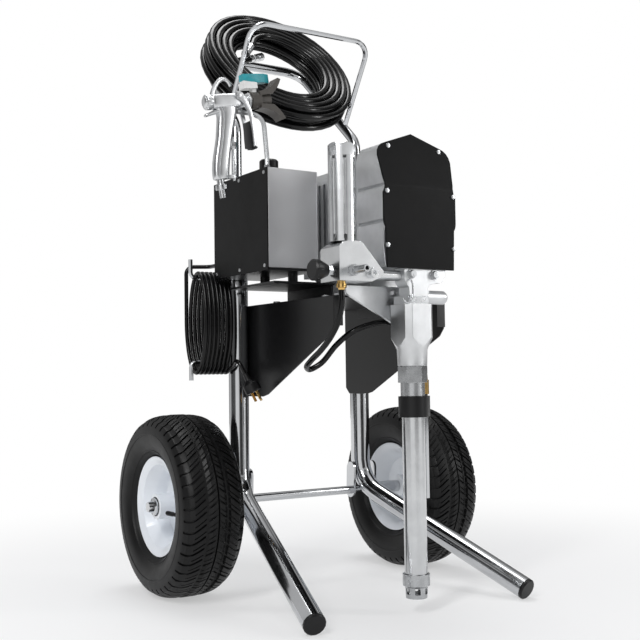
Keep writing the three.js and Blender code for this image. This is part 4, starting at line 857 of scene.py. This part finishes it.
def wheel_fittings(side, name):
    """Bearing seal in the hub's outer end and the valve stem in the dish."""
    shell = bmesh.new()
    rows = [
        [
            shell.verts.new(on_wheel(side, radius, offset, TAU * k / SEAL_STEPS))
            for k in range(SEAL_STEPS)
        ]
        for radius, offset in SEAL_SECTION
    ]
    for row, other in zip(rows, rows[1:] + rows[:1]):
        for k in range(SEAL_STEPS):
            m = (k + 1) % SEAL_STEPS
            shell.faces.new((row[k], row[m], other[m], other[k]))
    closed_piece(f"{name}_bearing_seal", shell, black_plastic, f"{name}_wheel")
    foot, tip = on_wheel(side, *STEM_FOOT), on_wheel(side, *STEM_TIP)
    line = [foot.lerp(tip, share) for share, _ in STEM_STATIONS]
    shell = bmesh.new()
    lofted(shell, tube_rings(line, [radius * MM for _, radius in STEM_STATIONS], 14))
    closed_piece(f"{name}_valve_stem", shell, black_plastic, f"{name}_wheel")


for side, name in ((-1, "left"), (1, "right")):
    tyre(side, name)
    rim(side, name)
    wheel_fittings(side, name)


# ---------------------------------------------------------------- spray gun

GUN_REAR = Vector((-312.5, -222, 855.2))
GUN_TURN = Matrix.Rotation(-math.radians(9), 3, "Y")


def in_gun(x, y, z):
    """A point of the gun's own frame: +X along the barrel, +Z up, from the rear cap's middle."""
    return at(*(GUN_TURN @ Vector((x, y, z)) + GUN_REAR))


def superellipse(count, power):
    """Points of a rounded square with half sides of 1; a power of 2 gives a circle."""
    for k in range(count):
        c, s = math.cos(TAU * k / count), math.sin(TAU * k / count)
        yield math.copysign(abs(c) ** (2 / power), c), math.copysign(abs(s) ** (2 / power), s)


def gun_bar(shell, line, radii, sides):
    """Adds a round bar along a line of the gun's own frame."""
    rings = tube_rings([Vector(p) for p in line], radii, sides)
    lofted(shell, [[in_gun(*p) for p in ring] for ring in rings])


# Barrel stations as (x, half width, lowest, highest).
BARREL = [
    (9, 7.5, -8, 8), (9.6, 10, -10.6, 10.4), (11, 11, -12.2, 11.6), (14, 11.5, -13, 12.4),
    (24, 12, -13.4, 13), (40, 12, -13.4, 13.2), (50, 12, -13, 13.2), (58, 11.6, -12, 12.6),
    (63, 11, -11, 11.4), (64, 10.2, -10.2, 10.4), (71, 10, -10, 10), (72, 9.2, -9.2, 9.2),
    (78, 9, -9, 9),
]
# Grip stations as (z, rear edge, front edge, half thickness).
GRIP = [
    (-6, 14, 57, 10.6), (-12, 14.5, 57, 10.6), (-18, 17.5, 55.6, 10.3), (-26, 17.6, 52.4, 9.9),
    (-36, 15.6, 48.6, 9.6), (-48, 13, 44.2, 9.4), (-60, 10.2, 40, 9.4), (-74, 5.8, 35.6, 9.6),
    (-88, 1, 31.4, 9.8), (-100, -2.6, 28.2, 9.9), (-112, -5, 25.2, 9.9), (-122, -6, 23.2, 9.7),
    (-127, -6.2, 22.4, 9.2), (-129.4, -5.4, 21.8, 8.4), (-130, -4.2, 20.8, 7.4),
]
# One side of the grip's section from the rear edge to the front, as (share of the chord, share of
# the thickness): a round ridge, a channel and a flat side.
GRIP_SIDE = [
    (0, 0), (0.012, 0.3), (0.04, 0.56), (0.09, 0.76), (0.15, 0.86), (0.215, 0.88), (0.25, 0.72),
    (0.285, 0.72), (0.315, 0.92), (0.42, 0.99), (0.6, 1), (0.76, 0.94), (0.87, 0.8), (0.945, 0.58),
    (0.985, 0.3), (1, 0),
]
# Spur over the hand as (x, half width, z, half height).
TAIL = [
    (22, 8, -15.5, 4.2), (12, 7.4, -17.4, 3.6), (4, 6.8, -19.6, 3.1), (-2, 6, -21.4, 2.9),
    (-4.8, 4.4, -22.2, 2.3), (-5.6, 2.4, -22.4, 1.2),
]
# Hanging hook over the barrel as (x, y, z), and its radius at the root and how much it loses.
HOOK_LINE = [
    (13, 0, 8), (17, 0, 18), (22.5, 0, 27), (29, 0, 34), (36, 0, 38), (43, 0, 38), (48.5, 0, 33.5),
    (51.5, 0, 26),
]
HOOK_RADIUS = 4.6
HOOK_TAPER = 2.2
# Paint tube in front of the grip and its collar nut as (x, z, radius).
FEED_TUBE = [
    (42, -60, 2.6), (40.4, -68, 3), (38.6, -82, 3.1), (36, -104, 3.1), (33.4, -126, 3.1),
    (32.6, -134, 2.4),
]
COLLAR_NUT = [
    (40.4, -68, 5.6), (40.2, -69, 6.4), (39.3, -76, 6.4), (39.2, -77, 5.4), (38.9, -79, 5.2),
    (38.7, -81, 4.2),
]
# Lug that holds the paint tube at the grip's foot as (z, half width), its middle and half length.
LUG = [(-123.4, 4.2), (-124, 4.8), (-129.4, 4.8), (-130, 4.2)]
LUG_X = 26.6
LUG_HALF = 11
# Boss between the grip and the paint tube as (x, half width), and its height.
BOSS = [(30, 3.6), (31, 4.2), (36, 4.2), (37, 3.6)]
BOSS_Z = -74


def gun_casting():
    """Barrel, grip, spur, hook, paint tube, collar nut, lug and boss."""
    shell = bmesh.new()
    rings = []
    for x, half, low, high in BARREL:
        middle, reach = (low + high) / 2, (high - low) / 2
        rings.append([in_gun(x, half * a, middle + reach * b) for a, b in superellipse(28, 3.4)])
    lofted(shell, rings)
    around = GRIP_SIDE + [(u, -v) for u, v in GRIP_SIDE[-2:0:-1]]
    lofted(shell, [
        [in_gun(rear + u * (front - rear), -half * v, z) for u, v in around]
        for z, rear, front, half in GRIP
    ])
    lofted(shell, [
        [in_gun(x, half * a, z + thick * b) for a, b in superellipse(16, 2.4)]
        for x, half, z, thick in TAIL
    ])
    line = catmull([Vector(p) for p in HOOK_LINE], 4)
    count = len(line)
    gun_bar(shell, line, [HOOK_RADIUS - HOOK_TAPER * k / (count - 1) for k in range(count)], 10)
    for stations, sides in ((FEED_TUBE, 12), (COLLAR_NUT, 6)):
        gun_bar(shell, [(x, 0, z) for x, z, _ in stations], [r for _, _, r in stations], sides)
    lofted(shell, [
        [in_gun(LUG_X + LUG_HALF * a, half * b, z) for a, b in superellipse(20, 2.6)]
        for z, half in LUG
    ])
    lofted(shell, [
        [in_gun(x, half * a, BOSS_Z + half * b) for a, b in superellipse(14, 3)] for x, half in BOSS
    ])
    closed_piece("gun_casting", shell, gun_metal, "cart", ["gun_body"], 34)


# Rear cap as (x, radius, whether it is knurled).
REAR_CAP = [
    (-4.2, 2.5, False), (-3.9, 5.5, False), (-3, 8.6, False), (-2, 9.6, False), (-1.2, 9.8, False),
    (-0.6, 12.2, False), (0.2, 13, True), (7.6, 13, True), (8.4, 12.4, False), (9, 10.6, False),
    (11, 10.2, False), (12.4, 10, False),
]
KNURL_DEPTH = 0.6
KNURL_POINTS = 72  # round the cap, 4 to a ridge and its groove


def cap_ring(x, radius, knurled):
    """One ring of the cap's skin, the first two of every four points sunk where it is knurled."""
    ring = []
    for k in range(KNURL_POINTS):
        out = radius - (KNURL_DEPTH if knurled and k % 4 in (0, 1) else 0)
        angle = TAU * k / KNURL_POINTS
        ring.append(in_gun(x, out * math.cos(angle), out * math.sin(angle)))
    return ring


def gun_rear_cap():
    """Knurled cap with a domed end."""
    shell = bmesh.new()
    lofted(shell, [cap_ring(*station) for station in REAR_CAP])
    closed_piece("gun_rear_cap", shell, gun_metal, "cart", angle=30)


# Outlines of the trigger as (x, z) from its pin.
TRIGGER_PIN = (57, 6)
LEVER = [
    (-7, 2.4), (-5.6, 6.4), (-1.6, 8.8), (3.4, 8.6), (8, 5), (12.6, -3), (17, -13), (20.4, -24),
    (22, -38), (22.2, -56), (20.6, -74), (18.8, -85), (14.6, -86), (14.8, -72), (15.4, -56),
    (15, -42), (13, -28), (8.6, -15), (3, -7.4), (-3.6, -3.8),
]
BLADE = [
    (20, -42), (20.4, -56), (18.6, -74), (16.8, -85), (11.6, -85.6), (12.4, -70), (13.8, -56),
    (14.6, -42),
]
TRIGGER_FOOT = [(13, -83), (18, -82), (25, -85.4), (25.6, -87.6), (23, -89), (13.6, -88.4)]
PIN_HEAD = [
    (4.2 * math.cos(TAU * k / 14), 4.2 * math.sin(TAU * k / 14) + 1.5) for k in range(14)
]


# Sideways spans of its two lever plates, the pin's head, the blade and the foot.
LEVER_SPANS = ((-15, -12.4), (12.4, 15))
PIN_SPAN = (-17, -14.6)
BLADE_SPAN = (-12.6, 12.6)
FOOT_SPAN = (-8, 8)


def slab(shell, shape, near, far):
    """Adds a plate in the gun's upright plane, between two sideways distances."""
    pin_x, pin_z = TRIGGER_PIN
    lofted(shell, [[in_gun(pin_x + x, y, pin_z + z) for x, z in shape] for y in (near, far)])


def gun_trigger():
    """Two lever plates with their pin's head, and between them the blade and foot, drawn near-black
    all over.
    """
    shell = bmesh.new()
    for span in LEVER_SPANS:
        slab(shell, LEVER, *span)
    slab(shell, PIN_HEAD, *PIN_SPAN)
    closed_piece("trigger_lever", shell, gun_metal, "trigger", ["gun_trigger"], bevel=0.5)
    # The blade and foot take the near-black moulding's colour all over, recessed between the lever
    # plates.
    shell = bmesh.new()
    slab(shell, BLADE, *BLADE_SPAN)
    slab(shell, TRIGGER_FOOT, *FOOT_SPAN)
    closed_piece("trigger_blade", shell, black_plastic, "trigger", bevel=0.4)


gun_casting()
gun_rear_cap()
gun_trigger()


# ---------------------------------------------------------------- pail hook

HOOK_BENDS = [
    (-17, -378, 556), (-17, -386, 556), (-15.4, -388.6, 551), (-14.4, -389, 540),
    (-15.4, -389, 529), (-19, -389, 521), (-25.5, -389, 517.6), (-31, -388.6, 519.6),
    (-33.6, -388, 524.4),
]
HOOK_WIRE_RADIUS = 1.5


def pail_hook():
    """Bent wire hook that hangs in the notch of the pump's neck."""
    line = [at(*p) for p in catmull([Vector(p) for p in HOOK_BENDS], 5)]
    shell = bmesh.new()
    lofted(shell, tube_rings(line, [HOOK_WIRE_RADIUS * MM] * len(line), 10))
    closed_piece("pail_hook_wire", shell, chrome, "cart", angle=50)


pail_hook()


# ---------------------------------------------------------------- stage, light and world

FLOOR_REACH = 6
FLOOR_COLOUR = (0.90, 0.90, 0.90, 1)
FLOOR_ROUGHNESS = 0.9
FLOOR_SPECULAR = 0.1
# The floor's shadow is strongest up to the first distance and gone by the second.
FADE_NEAR = 0.3
FADE_FAR = 1.5
FADE_LEAST = 0.45  # share of plain white nearest the object
AMBIENT_COLOUR = (0.93, 0.95, 1.0, 1)
AMBIENT_STRENGTH = 0.38
MIRRORED_STRENGTH = 0.95
# What metal reflects, as (position, brightness): dark and pale upright bands by azimuth, as between
# a studio's soft boxes, lightened by height.
BAND_STOPS = [
    (0.0, 0.10), (0.05, 0.14), (0.072, 1.0), (0.165, 0.95), (0.195, 0.06), (0.275, 0.05),
    (0.305, 0.8), (0.375, 0.85), (0.405, 0.06), (0.50, 0.05), (0.56, 0.28), (0.63, 0.10),
    (0.73, 0.10), (0.78, 0.62), (0.87, 0.66), (0.91, 0.08), (1.0, 0.10),
]
HEIGHT_STOPS = [(0.0, 0.0), (0.42, 0.0), (0.50, 0.7), (0.60, 0.10), (0.80, 0.55), (0.9, 0.9)]


def floor_material():
    """Pale floor, part plain white near the object and fully so away from it."""
    shader = Shader("floor")
    shader.base.inputs["Base Color"].default_value = FLOOR_COLOUR
    shader.base.inputs["Roughness"].default_value = FLOOR_ROUGHNESS
    shader.base.inputs["Specular IOR Level"].default_value = FLOOR_SPECULAR
    glow = shader.add("ShaderNodeEmission")
    distance = shader.add("ShaderNodeVectorMath", operation="LENGTH")
    shader.link(shader.place, "Object", distance, 0)
    fade = shader.add("ShaderNodeMapRange", interpolation_type="SMOOTHSTEP")
    fade.inputs["From Min"].default_value = FADE_NEAR
    fade.inputs["From Max"].default_value = FADE_FAR
    fade.inputs["To Min"].default_value = FADE_LEAST
    shader.link(distance, "Value", fade, "Value")
    mix = shader.add("ShaderNodeMixShader")
    shader.link(fade, "Result", mix, "Fac")
    shader.link(shader.base, "BSDF", mix, 1)
    shader.link(glow, "Emission", mix, 2)
    shader.link(mix, "Shader", shader.output, "Surface")
    return shader.material


def make_stage():
    """The floor, which isn't part of the object."""
    mesh = bpy.data.meshes.new("floor")
    corners = [
        (x * FLOOR_REACH, y * FLOOR_REACH, 0) for x, y in ((-1, -1), (1, -1), (1, 1), (-1, 1))
    ]
    mesh.from_pydata(corners, [], [(0, 1, 2, 3)])
    floor = bpy.data.objects.new("floor", mesh)
    floor.data.materials.append(floor_material())
    scene.collection.objects.link(floor)


def soft_light(name, place, target, size, power):
    """A rectangular lamp that faces the target."""
    data = bpy.data.lights.new(name, "AREA")
    data.shape = "RECTANGLE"
    data.size, data.size_y = size
    data.energy = power
    lamp = bpy.data.objects.new(name, data)
    lamp.location = place
    lamp.rotation_euler = (Vector(target) - Vector(place)).to_track_quat("-Z", "Y").to_euler()
    scene.collection.objects.link(lamp)


def make_world():
    """White to the camera, reflection bands to glossy rays and an even light to the rest."""
    world = bpy.data.worlds.new("studio")
    world.use_nodes = True
    tree = world.node_tree
    tree.nodes.clear()
    add, link = tree.nodes.new, tree.links.new
    output = add("ShaderNodeOutputWorld")
    light = add("ShaderNodeBackground")
    light.inputs["Color"].default_value = AMBIENT_COLOUR
    light.inputs["Strength"].default_value = AMBIENT_STRENGTH
    white = add("ShaderNodeBackground")
    white.inputs["Color"].default_value = (1, 1, 1, 1)
    white.inputs["Strength"].default_value = 1.0
    place = add("ShaderNodeTexCoord")
    parts = add("ShaderNodeSeparateXYZ")
    link(place.outputs["Generated"], parts.inputs["Vector"])
    azimuth = add("ShaderNodeMath")
    azimuth.operation = "ARCTAN2"
    link(parts.outputs["Y"], azimuth.inputs[0])
    link(parts.outputs["X"], azimuth.inputs[1])
    share = add("ShaderNodeMapRange")
    share.inputs["From Min"].default_value = -math.pi
    share.inputs["From Max"].default_value = math.pi
    link(azimuth.outputs[0], share.inputs["Value"])
    bands = add("ShaderNodeValToRGB")
    fill_ramp(bands, [(position, (value,) * 3) for position, value in BAND_STOPS])
    link(share.outputs["Result"], bands.inputs["Fac"])
    height = add("ShaderNodeValToRGB")
    fill_ramp(height, [(position, (value,) * 3) for position, value in HEIGHT_STOPS])
    link(parts.outputs["Z"], height.inputs["Fac"])
    either = add("ShaderNodeMix")
    either.data_type = "RGBA"
    either.blend_type = "LIGHTEN"
    either.inputs[MIX_FACTOR].default_value = 1.0
    link(bands.outputs["Color"], either.inputs[MIX_A])
    link(height.outputs["Color"], either.inputs[MIX_B])
    mirrored = add("ShaderNodeBackground")
    link(either.outputs[MIX_RESULT], mirrored.inputs["Color"])
    mirrored.inputs["Strength"].default_value = MIRRORED_STRENGTH
    ray = add("ShaderNodeLightPath")
    glossy = add("ShaderNodeMixShader")
    link(ray.outputs["Is Glossy Ray"], glossy.inputs[0])
    link(light.outputs[0], glossy.inputs[1])
    link(mirrored.outputs[0], glossy.inputs[2])
    seen = add("ShaderNodeMixShader")
    link(ray.outputs["Is Camera Ray"], seen.inputs[0])
    link(glossy.outputs[0], seen.inputs[1])
    link(white.outputs[0], seen.inputs[2])
    link(seen.outputs[0], output.inputs["Surface"])
    scene.world = world


make_stage()
make_world()
# Name, place, target, size and power of each lamp.
soft_light("key", (-2.2, -1.4, 2.2), (0, 0, 0.6), (0.4, 1.6), 40)
soft_light("fill", (2.2, -2.2, 1.5), (0, 0, 0.6), (0.3, 1.8), 20)
soft_light("top", (0.2, 0.6, 3.0), (0, 0, 0.5), (1.2, 1.2), 28)
scene.view_settings.view_transform = "Standard"
